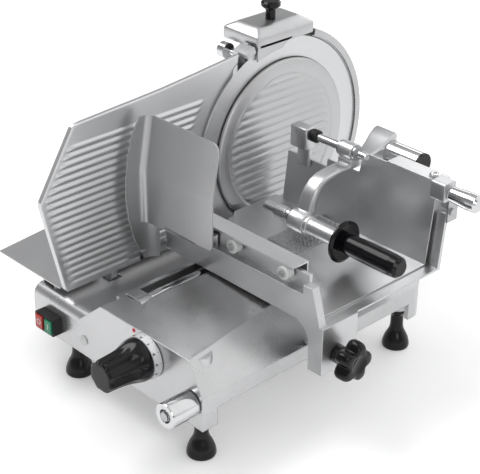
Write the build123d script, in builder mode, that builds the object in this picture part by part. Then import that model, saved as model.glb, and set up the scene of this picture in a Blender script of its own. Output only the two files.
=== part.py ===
from build123d import *
import math
import os

os.makedirs("parts", exist_ok=True)

# Electric vertical meat slicer with a hand pushed carriage.
# Millimetres. X runs across the blade, + towards the carriage. Y is the carriage's travel,
# + away from the operator. Z is up. The floor is z = 0 and the blade turns about
# a line along X over the origin. The blade's cutting edge lies in the plane x = 0.
# Spans are (from, to) along one axis. Outlines are (y, z) on planes across X,
# (x, z) on planes across Y and (x, y) on level planes.

# Driving dimensions
over = 1.0
gap = 0.3
running = 0.05
spindle_z = 233.0
blade_r = 150.0
base_left = -70.0
base_right = 257.0
base_front = -379.0
base_rear = 24.0
base_bottom = 60.0
deck_z = 148.0
low_z = 120.0
wall = 6.0
dial_x = 159.0
dial_z = 121.0
rod_x = 88.0
rod_z = 143.0
rod_r = 7.0


def save(built, name):
    built.part.label = name
    export_step(built.part, "parts/" + name + ".step")


def at_x(x):
    return Plane.YZ.offset(x)


def at_y(y):
    return Plane.XZ.offset(-y)


def at_z(z):
    return Plane.XY.offset(z)


def middle(span):
    return (span[0] + span[1]) / 2


def length(span):
    return span[1] - span[0]


def slab(xs, ys, zs, mode=Mode.ADD):
    with Locations((middle(xs), middle(ys), middle(zs))):
        Box(length(xs), length(ys), length(zs), mode=mode)


def round_x(xs, y, z, radius, mode=Mode.ADD):
    with Locations((middle(xs), y, z)):
        Cylinder(radius, length(xs), rotation=(0, 90, 0), mode=mode)


def round_y(x, ys, z, radius, mode=Mode.ADD):
    with Locations((x, middle(ys), z)):
        Cylinder(radius, length(ys), rotation=(90, 0, 0), mode=mode)


def round_z(x, y, zs, radius, mode=Mode.ADD):
    with Locations((x, y, middle(zs))):
        Cylinder(radius, length(zs), mode=mode)


def prism(plane, points, amount, mode=Mode.ADD):
    with BuildSketch(plane, mode=Mode.PRIVATE) as outline:
        with BuildLine():
            Polyline(*points, close=True)
        make_face()
    extrude(outline.sketch, amount=amount, mode=mode)


def turned_x(points, y=0.0, z=spindle_z, mode=Mode.ADD):
    # points are (x, radius) round a line along X
    with BuildSketch(Plane(origin=(0, y, z), x_dir=(1, 0, 0), z_dir=(0, -1, 0)), mode=Mode.PRIVATE) as half:
        with BuildLine():
            Polyline(*points, close=True)
        make_face()
    revolve(half.sketch, axis=Axis((0, y, z), (1, 0, 0)), mode=mode)


def turned_y(points, x, z, mode=Mode.ADD):
    # points are (radius, y) round a line along Y
    with BuildSketch(Plane(origin=(x, 0, z), x_dir=(1, 0, 0), z_dir=(0, 0, 1)), mode=Mode.PRIVATE) as half:
        with BuildLine():
            Polyline(*points, close=True)
        make_face()
    revolve(half.sketch, axis=Axis((x, 0, z), (0, 1, 0)), mode=mode)


def turned_z(points, x, y, mode=Mode.ADD):
    # points are (radius, z) round a line along Z
    with BuildSketch(Plane(origin=(x, y, 0), x_dir=(1, 0, 0), z_dir=(0, -1, 0)), mode=Mode.PRIVATE) as half:
        with BuildLine():
            Polyline(*points, close=True)
        make_face()
    revolve(half.sketch, axis=Axis((x, y, 0), (0, 0, 1)), mode=mode)


def polar(radius, degrees):
    turn = math.radians(degrees)
    return (radius * math.cos(turn), spindle_z + radius * math.sin(turn))


# Base casting: an open shell with a well for the blade and a channel for the slide rod
shoulder_z = 105.5
crest_front = 233.0
crest_rear = 168.0
rise_foot = 37.0
rise_top = 70.0
skin = 7.0
front_round = 15.0
corner_round = 25.0
arch_z = 84.5
arch_y = (-355.0, -10.0)
arch_blend = 6.0
sump_y = (-181.0, 18.0)
well_x = (-64.0, 14.0)
well_y = (-175.0, 18.0)
well_floor = 66.0
notch_y = (8.0, 24.0)
notch_z = 98.0
notch_left = -26.0
channel_x = (64.0, 100.0)
channel_y = (-338.0, 24.0)
channel_floor = 122.0
ridge_front = -327.0
ridge_height = 3.4
ridge_x = (100.5, 118.0)
ridge_tip_left = 125.0
ridge_sink = 1.5
slot_x = (-64.0, -8.0)
slot_y = (-303.0, -281.0)
foot_places = [(226.0, -353.0, 144.0), (-14.0, -353.0, 116.0), (226.0, 6.0, 116.0), (-48.0, 4.0, 86.0)]
boss_r = 13.0
stud_r = 4.0
stud_depth = 22.0
guide_y = -292.0
guide_z = 99.5
guide_r = 7.0
guide_x = (-69.0, 36.0)
lug_x = (30.0, 38.0)
lug_y = (-302.0, -281.0)
lug_bottom = 88.0
plate_z = (84.5, 86.5)
plate_boss_r = 5.0
plate_screw_r = 2.0
plate_screw_depth = 12.0
plate_places = [(124.0, -352.0, 144.0), (124.0, -4.0, 144.0), (-46.0, -345.0, 116.0), (228.0, -170.0, 121.0)]
switch_hole_x = (-48.0, -14.0)
switch_hole_z = (73.0, 93.0)
spindle_r = 6.0
lock_x = 238.0
lock_z = 93.0
lock_shaft_r = 5.0
cap_x = 34.0
cap_z = 82.5
cap_stem_r = 4.0
foot_bolt_r = 4.0
foot_bolt_places = [(-52.0, -64.0), (-52.0, -24.0), (-30.0, -64.0), (-30.0, -24.0)]


def base_profile(crest, inset, drop):
    return [
        (base_left + inset, base_bottom - drop),
        (base_right - inset, base_bottom - drop),
        (base_right - inset, shoulder_z - inset),
        (crest - inset, deck_z - inset),
        (rise_top + inset, deck_z - inset),
        (rise_foot + inset, low_z - inset),
        (base_left + inset, low_z - inset),
    ]


with BuildPart() as base_casting:
    with BuildSketch(at_y(base_front)):
        with BuildLine():
            Polyline(*base_profile(crest_front, 0, 0), close=True)
        make_face()
    with BuildSketch(at_y(base_rear)):
        with BuildLine():
            Polyline(*base_profile(crest_rear, 0, 0), close=True)
        make_face()
    loft(ruled=True)
    fillet(base_casting.edges().filter_by(Axis.Z).sort_by(Axis.Y)[-2:], corner_round)
    low_edge = base_casting.edges().filter_by(Axis.X).group_by(Axis.Y)[0]
    fillet(low_edge.filter_by_position(Axis.Z, low_z - over, low_z + over), front_round)
    # the cavity is open below
    with BuildSketch(at_y(base_front + wall)) as cavity_front:
        with BuildLine():
            Polyline(*base_profile(crest_front, skin, over), close=True)
        make_face()
    with BuildSketch(at_y(base_rear - wall)) as cavity_rear:
        with BuildLine():
            Polyline(*base_profile(crest_rear, skin, over), close=True)
        make_face()
    loft(ruled=True, mode=Mode.SUBTRACT)
    # walls of the sump that the blade turns in
    slab((base_left + wall / 2, well_x[1] + wall), sump_y, (base_bottom, low_z - skin / 2))
    prism(at_y(sump_y[0]), [
        (well_x[1], low_z - skin), (well_x[1] + wall, low_z - skin), (rise_foot + wall, low_z - skin),
        (rise_foot + wall, low_z - skin / 2), (well_x[1], low_z - skin / 2)], -length(sump_y))
    slab(well_x, well_y, (well_floor, deck_z), mode=Mode.SUBTRACT)
    slab((base_left - over, well_x[1]), (notch_y[0], notch_y[1] + over), (notch_z, deck_z), mode=Mode.SUBTRACT)
    slab((notch_left, well_x[1]), (notch_y[0], notch_y[1] + over), (well_floor, deck_z), mode=Mode.SUBTRACT)
    # the channel for the slide rod
    slab((channel_x[0] - wall, channel_x[1] + wall), (channel_y[0] - wall, channel_y[1]),
         (channel_floor - wall, deck_z - skin / 2))
    slab(channel_x, (channel_y[0], channel_y[1] + over), (channel_floor, deck_z + over), mode=Mode.SUBTRACT)
    # arches under the side walls leave a tab at each corner
    slab((well_x[1] + wall, base_right + over), arch_y, (base_bottom - over, arch_z), mode=Mode.SUBTRACT)
    slab((base_left - over, well_x[1] + wall + over), (arch_y[0], sump_y[0]), (base_bottom - over, arch_z),
         mode=Mode.SUBTRACT)
    # bosses for the feet and for the bottom plate
    for x, y, top in foot_places:
        round_z(x, y, (base_bottom, top), boss_r)
        round_z(x, y, (base_bottom - over, base_bottom + stud_depth), stud_r, mode=Mode.SUBTRACT)
    for x, y, top in plate_places:
        round_z(x, y, (plate_z[1], top), plate_boss_r)
        round_z(x, y, (plate_z[1] - over, plate_z[1] + plate_screw_depth), plate_screw_r, mode=Mode.SUBTRACT)
    for x, y in foot_bolt_places:
        round_z(x, y, (base_bottom - over, well_floor + over), foot_bolt_r, mode=Mode.SUBTRACT)
    # lug and seat for the gauge's guide bar
    slab(lug_x, lug_y, (lug_bottom, low_z - skin / 2))
    round_x((base_left + over, lug_x[1] + over), guide_y, guide_z, guide_r, mode=Mode.SUBTRACT)
    slab(slot_x, slot_y, (low_z - skin - over, low_z + over), mode=Mode.SUBTRACT)
    # openings in the front wall
    front_hole = (base_front - over, base_front + wall + over)
    slab(switch_hole_x, front_hole, switch_hole_z, mode=Mode.SUBTRACT)
    round_y(dial_x, front_hole, dial_z, spindle_r + running, mode=Mode.SUBTRACT)
    round_y(lock_x, front_hole, lock_z, lock_shaft_r + running, mode=Mode.SUBTRACT)
    round_y(cap_x, front_hole, cap_z, cap_stem_r, mode=Mode.SUBTRACT)
    # the raised deck beside the rod with its facetted nose
    share = (ridge_front - base_front) / (base_rear - base_front)
    ridge_foot = crest_front + share * (crest_rear - crest_front)
    ridge_low = deck_z - ridge_sink
    ridge_high = deck_z + ridge_height
    with BuildSketch(at_y(base_front)) as nose_tip:
        with BuildLine():
            Polyline((ridge_tip_left, ridge_low), (ridge_tip_left, deck_z), (crest_front - gap, deck_z),
                     (crest_front, deck_z), (crest_front, ridge_low), close=True)
        make_face()
    with BuildSketch(at_y(ridge_front)) as nose_back:
        with BuildLine():
            Polyline((ridge_x[0], ridge_low), (ridge_x[0], ridge_high), (ridge_x[1], ridge_high),
                     (ridge_foot, deck_z), (ridge_foot, ridge_low), close=True)
        make_face()
    loft(ruled=True)
    with BuildSketch(at_y(base_rear)) as deck_rear:
        with BuildLine():
            Polyline((ridge_x[0], ridge_low), (ridge_x[0], ridge_high), (ridge_x[1], ridge_high),
                     (crest_rear, deck_z), (crest_rear, ridge_low), close=True)
        make_face()
    with BuildSketch(at_y(ridge_front)) as deck_front:
        with BuildLine():
            Polyline((ridge_x[0], ridge_low), (ridge_x[0], ridge_high), (ridge_x[1], ridge_high),
                     (ridge_foot, deck_z), (ridge_foot, ridge_low), close=True)
        make_face()
    loft(ruled=True)
save(base_casting, "base_casting")

# Bottom plate, its screws and the four feet
plate_slack = 0.5
plate_front = -366.0
foot_foot_r = 17.0
foot_foot_edge = 8.0
foot_waist_r = 9.5
foot_waist_z = 34.0
foot_neck_r = 8.5
foot_collar_r = 12.0
foot_collar_z = 56.0
with BuildPart() as bottom_plate:
    slab((well_x[1] + wall + plate_slack, base_right - skin - plate_slack),
         (plate_front, base_rear - wall - plate_slack), plate_z)
    slab((base_left + skin + plate_slack, well_x[1] + wall + over),
         (plate_front, sump_y[0] - plate_slack), plate_z)
    for x, y, top in foot_places:
        round_z(x, y, (plate_z[0] - over, plate_z[1] + over), boss_r + plate_slack, mode=Mode.SUBTRACT)
    for x, y, top in plate_places:
        round_z(x, y, (plate_z[0] - over, plate_z[1] + over), plate_screw_r + running, mode=Mode.SUBTRACT)
save(bottom_plate, "bottom_plate")

with BuildPart() as feet:
    for x, y, top in foot_places:
        turned_z([(0, 0), (foot_foot_r, 0), (foot_foot_r, foot_foot_edge), (foot_waist_r, foot_waist_z),
                  (foot_neck_r, foot_collar_z - over), (foot_collar_r, foot_collar_z), (foot_collar_r, base_bottom),
                  (0, base_bottom)], x, y)
        round_z(x, y, (base_bottom - over, base_bottom + stud_depth - over), stud_r)
save(feet, "feet")

# Slide rod and the brackets that carry its ends
front_bracket_y = (-337.0, -318.0)
rear_bracket_y = (14.0, 24.0)
bracket_slack = 0.3
bracket_top = 150.5
bracket_flat_r = 17.0
rod_front = -337.7
rod_chamfer = 1.2
with BuildPart() as rod_brackets:
    for ys in (front_bracket_y, rear_bracket_y):
        slab((channel_x[0] + bracket_slack, channel_x[1] - bracket_slack), ys, (channel_floor, bracket_top))
    crown = rod_brackets.edges().filter_by(Axis.Y).group_by(Axis.Z)[-1]
    fillet(crown, bracket_flat_r / 2)
    for ys in (front_bracket_y, rear_bracket_y):
        round_y(rod_x, (ys[0] - over, ys[1] + over), rod_z, rod_r, mode=Mode.SUBTRACT)
save(rod_brackets, "rod_brackets")

with BuildPart() as slide_rod:
    round_y(rod_x, (rod_front, base_rear - over), rod_z, rod_r)
    chamfer(slide_rod.edges().filter_by(GeomType.CIRCLE), rod_chamfer)
save(slide_rod, "slide_rod")

# Switch and cap plug on the front wall
switch_x = (-50.5, -11.5)
switch_z = (70.5, 95.5)
switch_y = (-393.0, -379.0)
switch_body_y = (-379.0, -367.0)
switch_body_slack = 0.4
switch_round = 3.0
button_gap_x = (-33.0, -28.0)
button_rim = 3.0
button_slack = 0.4
button_y = (-395.5, -384.0)
button_pit = -380.0
cap_r = 6.5
cap_y = (-380.4, -379.0)
with BuildPart() as switch_housing:
    slab(switch_x, switch_y, switch_z)
    fillet(switch_housing.edges().filter_by(Axis.Y), switch_round)
    slab((switch_hole_x[0] + switch_body_slack, switch_hole_x[1] - switch_body_slack), switch_body_y,
         (switch_hole_z[0] + switch_body_slack, switch_hole_z[1] - switch_body_slack))
    for xs in ((switch_x[0] + button_rim, button_gap_x[0]), (button_gap_x[1], switch_x[1] - button_rim)):
        slab(xs, (switch_y[0] - over, button_pit), (switch_z[0] + button_rim, switch_z[1] - button_rim),
             mode=Mode.SUBTRACT)
save(switch_housing, "switch_housing")

with BuildPart() as stop_button:
    slab((switch_x[0] + button_rim + button_slack, button_gap_x[0] - button_slack), button_y,
         (switch_z[0] + button_rim + button_slack, switch_z[1] - button_rim - button_slack))
save(stop_button, "stop_button")

with BuildPart() as start_button:
    slab((button_gap_x[1] + button_slack, switch_x[1] - button_rim - button_slack), button_y,
         (switch_z[0] + button_rim + button_slack, switch_z[1] - button_rim - button_slack))
save(start_button, "start_button")

with BuildPart() as cap_plug:
    round_y(cap_x, cap_y, cap_z, cap_r)
    round_y(cap_x, (cap_y[1], base_front + wall + over), cap_z, cap_stem_r)
save(cap_plug, "cap_plug")

# Thickness dial: numbered ring, fluted knob, spindle and cam
ring_r = 29.0
ring_front_r = 28.0
ring_y = (-391.0, -380.0)
ring_bevel_y = -384.0
knob_back_r = 27.5
knob_front_r = 21.5
knob_y = (-451.0, -391.0)
knob_back_y = -401.0
knob_face_round = 2.5
flute_count = 12
flute_r = 4.2
flute_out = 2.4
hub_r = 11.0
hub_y = (-391.0, -375.0)
cam_r = 17.5
cam_y = (-314.0, -302.0)
with BuildPart() as dial_ring:
    turned_y([(spindle_r, ring_y[0]), (ring_front_r, ring_y[0]), (ring_r, ring_bevel_y), (ring_r, ring_y[1]),
              (spindle_r, ring_y[1])], dial_x, dial_z)
save(dial_ring, "dial_ring")

with BuildPart() as dial_knob:
    turned_y([(0, knob_y[0]), (knob_front_r - knob_face_round, knob_y[0]), (knob_front_r, knob_y[0] + knob_face_round),
              (knob_back_r, knob_back_y), (knob_back_r, knob_y[1]), (0, knob_y[1])], dial_x, dial_z)
    flute_front = (knob_front_r + flute_out, knob_y[0] - over)
    flute_rear = (knob_back_r + flute_out, knob_back_y)
    for i in range(flute_count):
        turn = 2 * math.pi * i / flute_count
        start = Vector(dial_x + flute_front[0] * math.cos(turn), flute_front[1],
                       dial_z + flute_front[0] * math.sin(turn))
        end = Vector(dial_x + flute_rear[0] * math.cos(turn), flute_rear[1],
                     dial_z + flute_rear[0] * math.sin(turn))
        with BuildSketch(Plane(origin=start, z_dir=end - start), mode=Mode.PRIVATE) as flute:
            Circle(flute_r)
        extrude(flute.sketch, amount=(end - start).length, mode=Mode.SUBTRACT)
    round_y(dial_x, (knob_y[1] - hub_r, knob_y[1] + over), dial_z, spindle_r, mode=Mode.SUBTRACT)
save(dial_knob, "dial_knob")

with BuildPart() as dial_spindle:
    round_y(dial_x, (knob_y[1] - hub_r, cam_y[1]), dial_z, spindle_r)
    round_y(dial_x, cam_y, dial_z, cam_r)
save(dial_spindle, "dial_spindle")

# Carriage release knob at the right of the front wall
lock_r = 16.5
lock_y = (-421.0, -380.0)
lock_neck_r = 12.5
lock_neck_y = (-404.0, -396.0)
lock_bevel = 2.0
lock_pit_r = 9.5
lock_pit = 2.5
lock_screw_r = 6.0
lock_shaft_y = (-420.0, -368.0)
with BuildPart() as release_knob:
    turned_y([(0, lock_y[0] + lock_pit), (lock_pit_r, lock_y[0] + lock_pit), (lock_pit_r, lock_y[0]),
              (lock_r - lock_bevel, lock_y[0]), (lock_r, lock_y[0] + lock_bevel), (lock_r, lock_neck_y[0]),
              (lock_neck_r, lock_neck_y[0] + lock_bevel), (lock_neck_r, lock_neck_y[1] - lock_bevel),
              (lock_r, lock_neck_y[1]), (lock_r, lock_y[1] - lock_bevel), (lock_r - lock_bevel, lock_y[1]),
              (0, lock_y[1])], lock_x, lock_z)
    round_y(lock_x, (lock_y[0], lock_y[1] + over), lock_z, lock_shaft_r, mode=Mode.SUBTRACT)
save(release_knob, "release_knob")

with BuildPart() as release_shaft:
    round_y(lock_x, (lock_y[0] - over, lock_y[0] + lock_pit), lock_z, lock_screw_r)
    round_y(lock_x, (lock_y[0] + lock_pit, lock_shaft_y[1]), lock_z, lock_shaft_r)
save(release_shaft, "release_shaft")

# Thickness gauge: ribbed plate with a concave edge beside the blade, its arm and guide bar
gauge_x = (-10.0, -4.0)
gauge_back = [(-405.6, 271.0), (-406.0, 265.0), (-376.0, 138.0), (-372.0, 134.0), (-118.0, 134.0)]
gauge_top = [(-78.2, 366.0), (-76.0, 378.0), (-98.0, 376.0), (-147.0, 371.0), (-215.0, 365.0), (-349.0, 358.0), (-353.6, 356.0)]
gauge_gap = 4.3
gauge_arc_r = blade_r + gauge_gap
gauge_rib_z = (138.5, 334.0)
gauge_rib_count = 20
gauge_rib_half = 2.6
gauge_rib_height = 1.3
gauge_rib_crest = 1.0
gauge_rib_inset = 9.0
gauge_rib_bow = 6.0
gauge_rib_stop = 172.0
apron_points = [(-8.0, 137.0), (-6.0, 133.0), (24.0, 125.5), (28.0, 126.0), (29.0, 128.0), (25.0, 128.6),
                (6.0, 134.5), (0.0, 136.6), (-5.0, 138.0)]
apron_y = (-362.0, -172.0)
apron_corner = 9.0
arm_x = (-30.0, -10.0)
arm_y = (-297.0, -287.0)
arm_z = (111.0, 300.0)
arm_top_x = -16.0
arm_pad_y = (-332.0, -252.0)
arm_pad_x = (-15.0, -10.0)
arm_pad_z = (210.0, 280.0)
sleeve_r = 11.5
sleeve_x = (-46.0, -10.0)
push_y = (-313.0, -303.5)
push_x = (-30.0, 140.5)
push_z = (103.0, 110.5)
push_tab_y = (-313.0, -289.0)
push_tab_x = (-30.0, -14.0)


def gauge_left(z):
    low = gauge_back[2]
    high = gauge_back[1]
    if z > high[1]:
        low = gauge_back[0]
        high = gauge_top[-1]
    share = (z - low[1]) / (high[1] - low[1])
    return low[0] + share * (high[0] - low[0]) + gauge_rib_bow * share * (1 - share)


with BuildPart() as gauge_plate:
    with BuildSketch(at_x(gauge_x[0])):
        with BuildLine():
            Polyline(*gauge_top, *gauge_back)
            ThreePointArc(gauge_back[-1], (-gauge_arc_r, spindle_z), gauge_top[0])
        make_face()
    extrude(amount=length(gauge_x))
    rib_pitch = length(gauge_rib_z) / gauge_rib_count
    for i in range(gauge_rib_count):
        z = gauge_rib_z[0] + rib_pitch * (i + 0.5)
        rib_stop = -math.sqrt(gauge_rib_stop ** 2 - (z - spindle_z) ** 2)
        rib_start = gauge_left(z) + gauge_rib_inset
        prism(at_y(rib_start), [
            (gauge_x[1] - over, z - gauge_rib_half), (gauge_x[1], z - gauge_rib_half),
            (gauge_x[1] + gauge_rib_height, z - gauge_rib_crest), (gauge_x[1] + gauge_rib_height, z + gauge_rib_crest),
            (gauge_x[1], z + gauge_rib_half), (gauge_x[1] - over, z + gauge_rib_half)], rib_start - rib_stop)
    prism(at_y(apron_y[0]), apron_points, -length(apron_y))
save(gauge_plate, "gauge_plate")

with BuildPart() as gauge_arm:
    slab(arm_pad_x, arm_pad_y, arm_pad_z)
    prism(at_y(arm_y[0]), [(arm_x[0], guide_z), (arm_x[1] - over, guide_z), (arm_x[1], arm_z[0] + sleeve_r),
                           (arm_x[1], arm_z[1]), (arm_top_x, arm_z[1]), (arm_x[0], middle(arm_z))], -length(arm_y))
    round_x(sleeve_x, guide_y, guide_z, sleeve_r)
    slab(push_tab_x, push_tab_y, push_z)
    slab(push_x, push_y, push_z)
    round_x((sleeve_x[0] - over, sleeve_x[1] + over), guide_y, guide_z, guide_r + running, mode=Mode.SUBTRACT)
save(gauge_arm, "gauge_arm")

with BuildPart() as gauge_guide:
    round_x(guide_x, guide_y, guide_z, guide_r)
save(gauge_guide, "gauge_guide")

# Receiving tray beside the base, folded from thin sheet
tray_sheet = 1.5
tray_z = 129.5
tray_outline = [(-157.0, -371.0), (-24.0, -371.0), (-24.0, -74.0), (-167.0, -74.0), (-167.0, -289.0)]
tray_slot_x = (-64.0, -8.0)
tray_lip = 6.0
tray_leg_x = [(-66.0, -64.5), (-42.0, -40.5)]
tray_leg_y = (-366.0, -185.0)
with BuildPart() as receiving_tray:
    prism(at_z(tray_z), tray_outline, tray_sheet)
    slab((tray_outline[3][0], tray_outline[3][0] + tray_sheet), (tray_outline[4][1], tray_outline[3][1]),
         (tray_z, tray_z + tray_lip))
    slab((tray_outline[3][0], tray_outline[2][0]), (tray_outline[3][1] - tray_sheet, tray_outline[3][1]),
         (tray_z, tray_z + tray_lip))
    for xs in tray_leg_x:
        slab(xs, tray_leg_y, (low_z, tray_z))
    slab((tray_slot_x[0] + tray_sheet, tray_slot_x[1]), slot_y, (low_z - over, tray_z + tray_lip), mode=Mode.SUBTRACT)
save(receiving_tray, "receiving_tray")

# Blade with its hollow shaft, cover plate with its tie rod, and the knob that holds the cover
blade_points = [(0.0, blade_r), (-1.6, 121.0), (-6.0, 110.0), (-6.0, 12.0), (-10.0, 12.0), (-10.0, 110.0),
                (-5.4, 122.0), (-3.4, 143.0)]
shaft_flange_r = 30.0
shaft_flange_x = (-16.0, -10.0)
shaft_r = 12.0
shaft_bore = 6.5
shaft_x = (-68.0, -6.0)
cover_r = 118.0
cover_x = (-1.0, 5.0)
cover_rim = 17.0
cover_edge = 2.2
cover_dish = 1.2
cover_rib_count = 17
cover_rib_half = 2.6
cover_rib_crest = 1.1
cover_rib_height = 1.2
cover_boss_r = 10.5
cover_boss_x = (-5.4, 0.0)
tie_r = 5.0
tie_x = (-88.0, 0.0)
cover_knob_x = (-92.0, -75.0)
cover_knob_r = 16.0
cover_knob_neck_r = 8.0
cover_knob_lobes = 6
cover_knob_dent = 4.0
with BuildPart() as blade:
    turned_x(blade_points)
save(blade, "blade")

with BuildPart() as blade_shaft:
    turned_x([(shaft_x[0], shaft_bore), (shaft_x[1], shaft_bore), (shaft_x[1], shaft_r - running),
              (shaft_flange_x[1], shaft_r - running), (shaft_flange_x[1], shaft_flange_r),
              (shaft_flange_x[0], shaft_flange_r), (shaft_flange_x[0], shaft_r), (shaft_x[0], shaft_r)])
save(blade_shaft, "blade_shaft")

with BuildPart() as blade_cover:
    turned_x([(cover_x[0], 0), (cover_x[0], cover_r - cover_edge), (cover_x[0] + cover_edge, cover_r),
              (cover_x[1] - cover_edge, cover_r - cover_edge / 2), (cover_x[1], cover_r - 2 * cover_edge),
              (cover_x[1], cover_r - cover_rim), (cover_x[1] - cover_dish, cover_r - cover_rim - cover_edge),
              (cover_x[1] - cover_dish, 0)])
    rib_field = cover_r - cover_rim - cover_edge
    cover_pitch = 2 * rib_field / cover_rib_count
    for i in range(cover_rib_count):
        z = spindle_z - rib_field + cover_pitch * (i + 0.5)
        reach = math.sqrt(rib_field ** 2 - (abs(z - spindle_z) + cover_rib_crest) ** 2)
        face = cover_x[1] - cover_dish
        prism(at_y(-reach), [
            (face - over, z - cover_rib_half), (face, z - cover_rib_half), (face + cover_rib_height, z - cover_rib_crest),
            (face + cover_rib_height, z + cover_rib_crest), (face, z + cover_rib_half), (face - over, z + cover_rib_half)],
            -2 * reach)
    round_x(cover_boss_x, 0, spindle_z, cover_boss_r)
    round_x(tie_x, 0, spindle_z, tie_r)
save(blade_cover, "blade_cover")

with BuildPart() as cover_knob:
    round_x(cover_knob_x, 0, spindle_z, cover_knob_r)
    fillet(cover_knob.edges().filter_by(GeomType.CIRCLE).group_by(Axis.X)[0], cover_knob_dent / 2)
    for i in range(cover_knob_lobes):
        y, z = polar(cover_knob_r + cover_knob_dent / 2, 360 * i / cover_knob_lobes)
        round_x((cover_knob_x[0] - over, cover_knob_x[1] + over), y, z, cover_knob_dent, mode=Mode.SUBTRACT)
    round_x((tie_x[0] - gap, cover_knob_x[1] + over), 0, spindle_z, tie_r + running, mode=Mode.SUBTRACT)
save(cover_knob, "cover_knob")

# Head casting that carries the blade, with the ring guard round the cutting edge
head_x = (-22.0, -12.0)
ring_x = (-14.0, 3.0)
guard_gap = 2.5
guard_band = 9.5
guard_inner_r = blade_r + guard_gap
guard_outer_r = guard_inner_r + guard_band
ring_from = -136.0
ring_inset = 1.0
ring_to = 67.5
tip_from = 110.0
tip_to = 116.0
head_left = -72.0
head_window_y = (-51.5, 60.0)
head_window_z = 352.0
shaft_hole_r = 32.0
bearing_boss_r = 34.0
bearing_boss_x = (-56.0, -20.0)
bearing_seat_r = 26.0
bearing_stop = 3.0
bearing_x = [(-31.0, -22.0), (-56.0, -47.0)]
foot_pad_x = (-60.0, -12.0)
foot_pad_y = (-74.0, -14.0)
foot_pad_z = (66.0, 80.0)
foot_web_x = (-46.0, -36.0)
foot_web_top = 190.0
foot_bolt_head_r = 6.5
foot_bolt_head = 8.0
post_x = -40.0
post_y = 12.0
post_r = 6.0
post_z = (318.0, 372.0)
post_boss_z = (312.0, 336.0)
post_boss_r = 11.0
wheel_y = -54.0
wheel_z = 365.0
wheel_stem_r = 4.0


def band(inner, outer, start, stop):
    # an annular band between two angles, on the plane of the head's back
    with BuildSketch(at_x(head_x[0]), mode=Mode.PRIVATE) as sector:
        with BuildLine():
            ThreePointArc(polar(outer, start), polar(outer, (start + stop) / 2), polar(outer, stop))
            Line(polar(outer, stop), polar(inner, stop))
            ThreePointArc(polar(inner, stop), polar(inner, (start + stop) / 2), polar(inner, start))
            Line(polar(inner, start), polar(outer, start))
        make_face()
    return sector.sketch


with BuildPart() as blade_head:
    with BuildSketch(at_x(head_x[0])):
        with Locations((0, spindle_z)):
            Circle(guard_outer_r - ring_inset)
        with Locations((head_left - guard_outer_r, spindle_z)):
            Rectangle(2 * guard_outer_r, 2 * guard_outer_r + over, mode=Mode.SUBTRACT)
        with Locations((middle(head_window_y), head_window_z + guard_outer_r)):
            Rectangle(length(head_window_y), 2 * guard_outer_r, mode=Mode.SUBTRACT)
    extrude(amount=length(head_x))
    extrude(band(guard_inner_r, guard_outer_r, ring_from, ring_to), amount=ring_x[1] - head_x[0])
    extrude(band(guard_inner_r, guard_outer_r, tip_from, tip_to), amount=ring_x[1] - head_x[0])
    round_x(bearing_boss_x, 0, spindle_z, bearing_boss_r)
    slab(foot_pad_x, foot_pad_y, foot_pad_z)
    slab((head_x[0], head_x[1]), foot_pad_y, (foot_pad_z[0], spindle_z - bearing_boss_r))
    prism(at_y(middle(foot_pad_y) - wall), [
        (foot_pad_x[0], foot_pad_z[1] - over), (head_x[0] + over, foot_pad_z[1] - over),
        (head_x[0] + over, foot_web_top)], -2 * wall)
    round_x((bearing_boss_x[0] - over, head_x[1] + over), 0, spindle_z, bearing_seat_r - bearing_stop,
            mode=Mode.SUBTRACT)
    for xs in bearing_x:
        round_x(xs, 0, spindle_z, bearing_seat_r, mode=Mode.SUBTRACT)
    round_x((head_x[0], head_x[1] + over), 0, spindle_z, shaft_hole_r, mode=Mode.SUBTRACT)
    # post boss for the sharpener and seat for its side wheel
    slab((post_x - post_boss_r, head_x[0] + over), (post_y - post_boss_r, post_y + post_boss_r), post_boss_z)
    round_z(post_x, post_y, (post_boss_z[0] + over, post_z[1]), post_r)
    round_x((head_x[0] - over, head_x[1] + over), wheel_y, wheel_z, wheel_stem_r, mode=Mode.SUBTRACT)
    for x, y in foot_bolt_places:
        round_z(x, y, (foot_pad_z[0] - over, foot_pad_z[1] + over), foot_bolt_r + running, mode=Mode.SUBTRACT)
save(blade_head, "blade_head")

with BuildPart() as head_bolts:
    for x, y in foot_bolt_places:
        round_z(x, y, (base_bottom + over, foot_pad_z[1]), foot_bolt_r)
        round_z(x, y, (foot_pad_z[1], foot_pad_z[1] + foot_bolt_head), foot_bolt_head_r)
save(head_bolts, "head_bolts")

with BuildPart() as bearings:
    for xs in bearing_x:
        round_x(xs, 0, spindle_z, bearing_seat_r)
        round_x((xs[0] - over, xs[1] + over), 0, spindle_z, shaft_r + running, mode=Mode.SUBTRACT)
save(bearings, "bearings")

# Belt drive behind the head: blade pulley, motor pulley, belt, motor and their housing
belt_x = (-65.8, -58.7)
pulley_r = 46.0
pulley_flange_r = 49.0
pulley_x = (-67.5, -57.0)
flange_thick = 1.2
motor_y = 72.0
motor_z = 118.0
motor_pulley_r = 16.0
motor_pulley_flange_r = 19.0
motor_shaft_r = 6.0
belt_thick = 3.0
belt_clear = 0.3
housing_x = (-73.0, -22.0)
housing_wall = 3.0
housing_big_r = 58.0
housing_small_r = 34.0
motor_shaft_x = (-90.0, -56.0)
motor_r = 44.0
motor_x = (-176.0, -73.0)
motor_nose_r = 24.0
motor_round = 8.0
fin_count = 28
fin_r = 2.2


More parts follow.
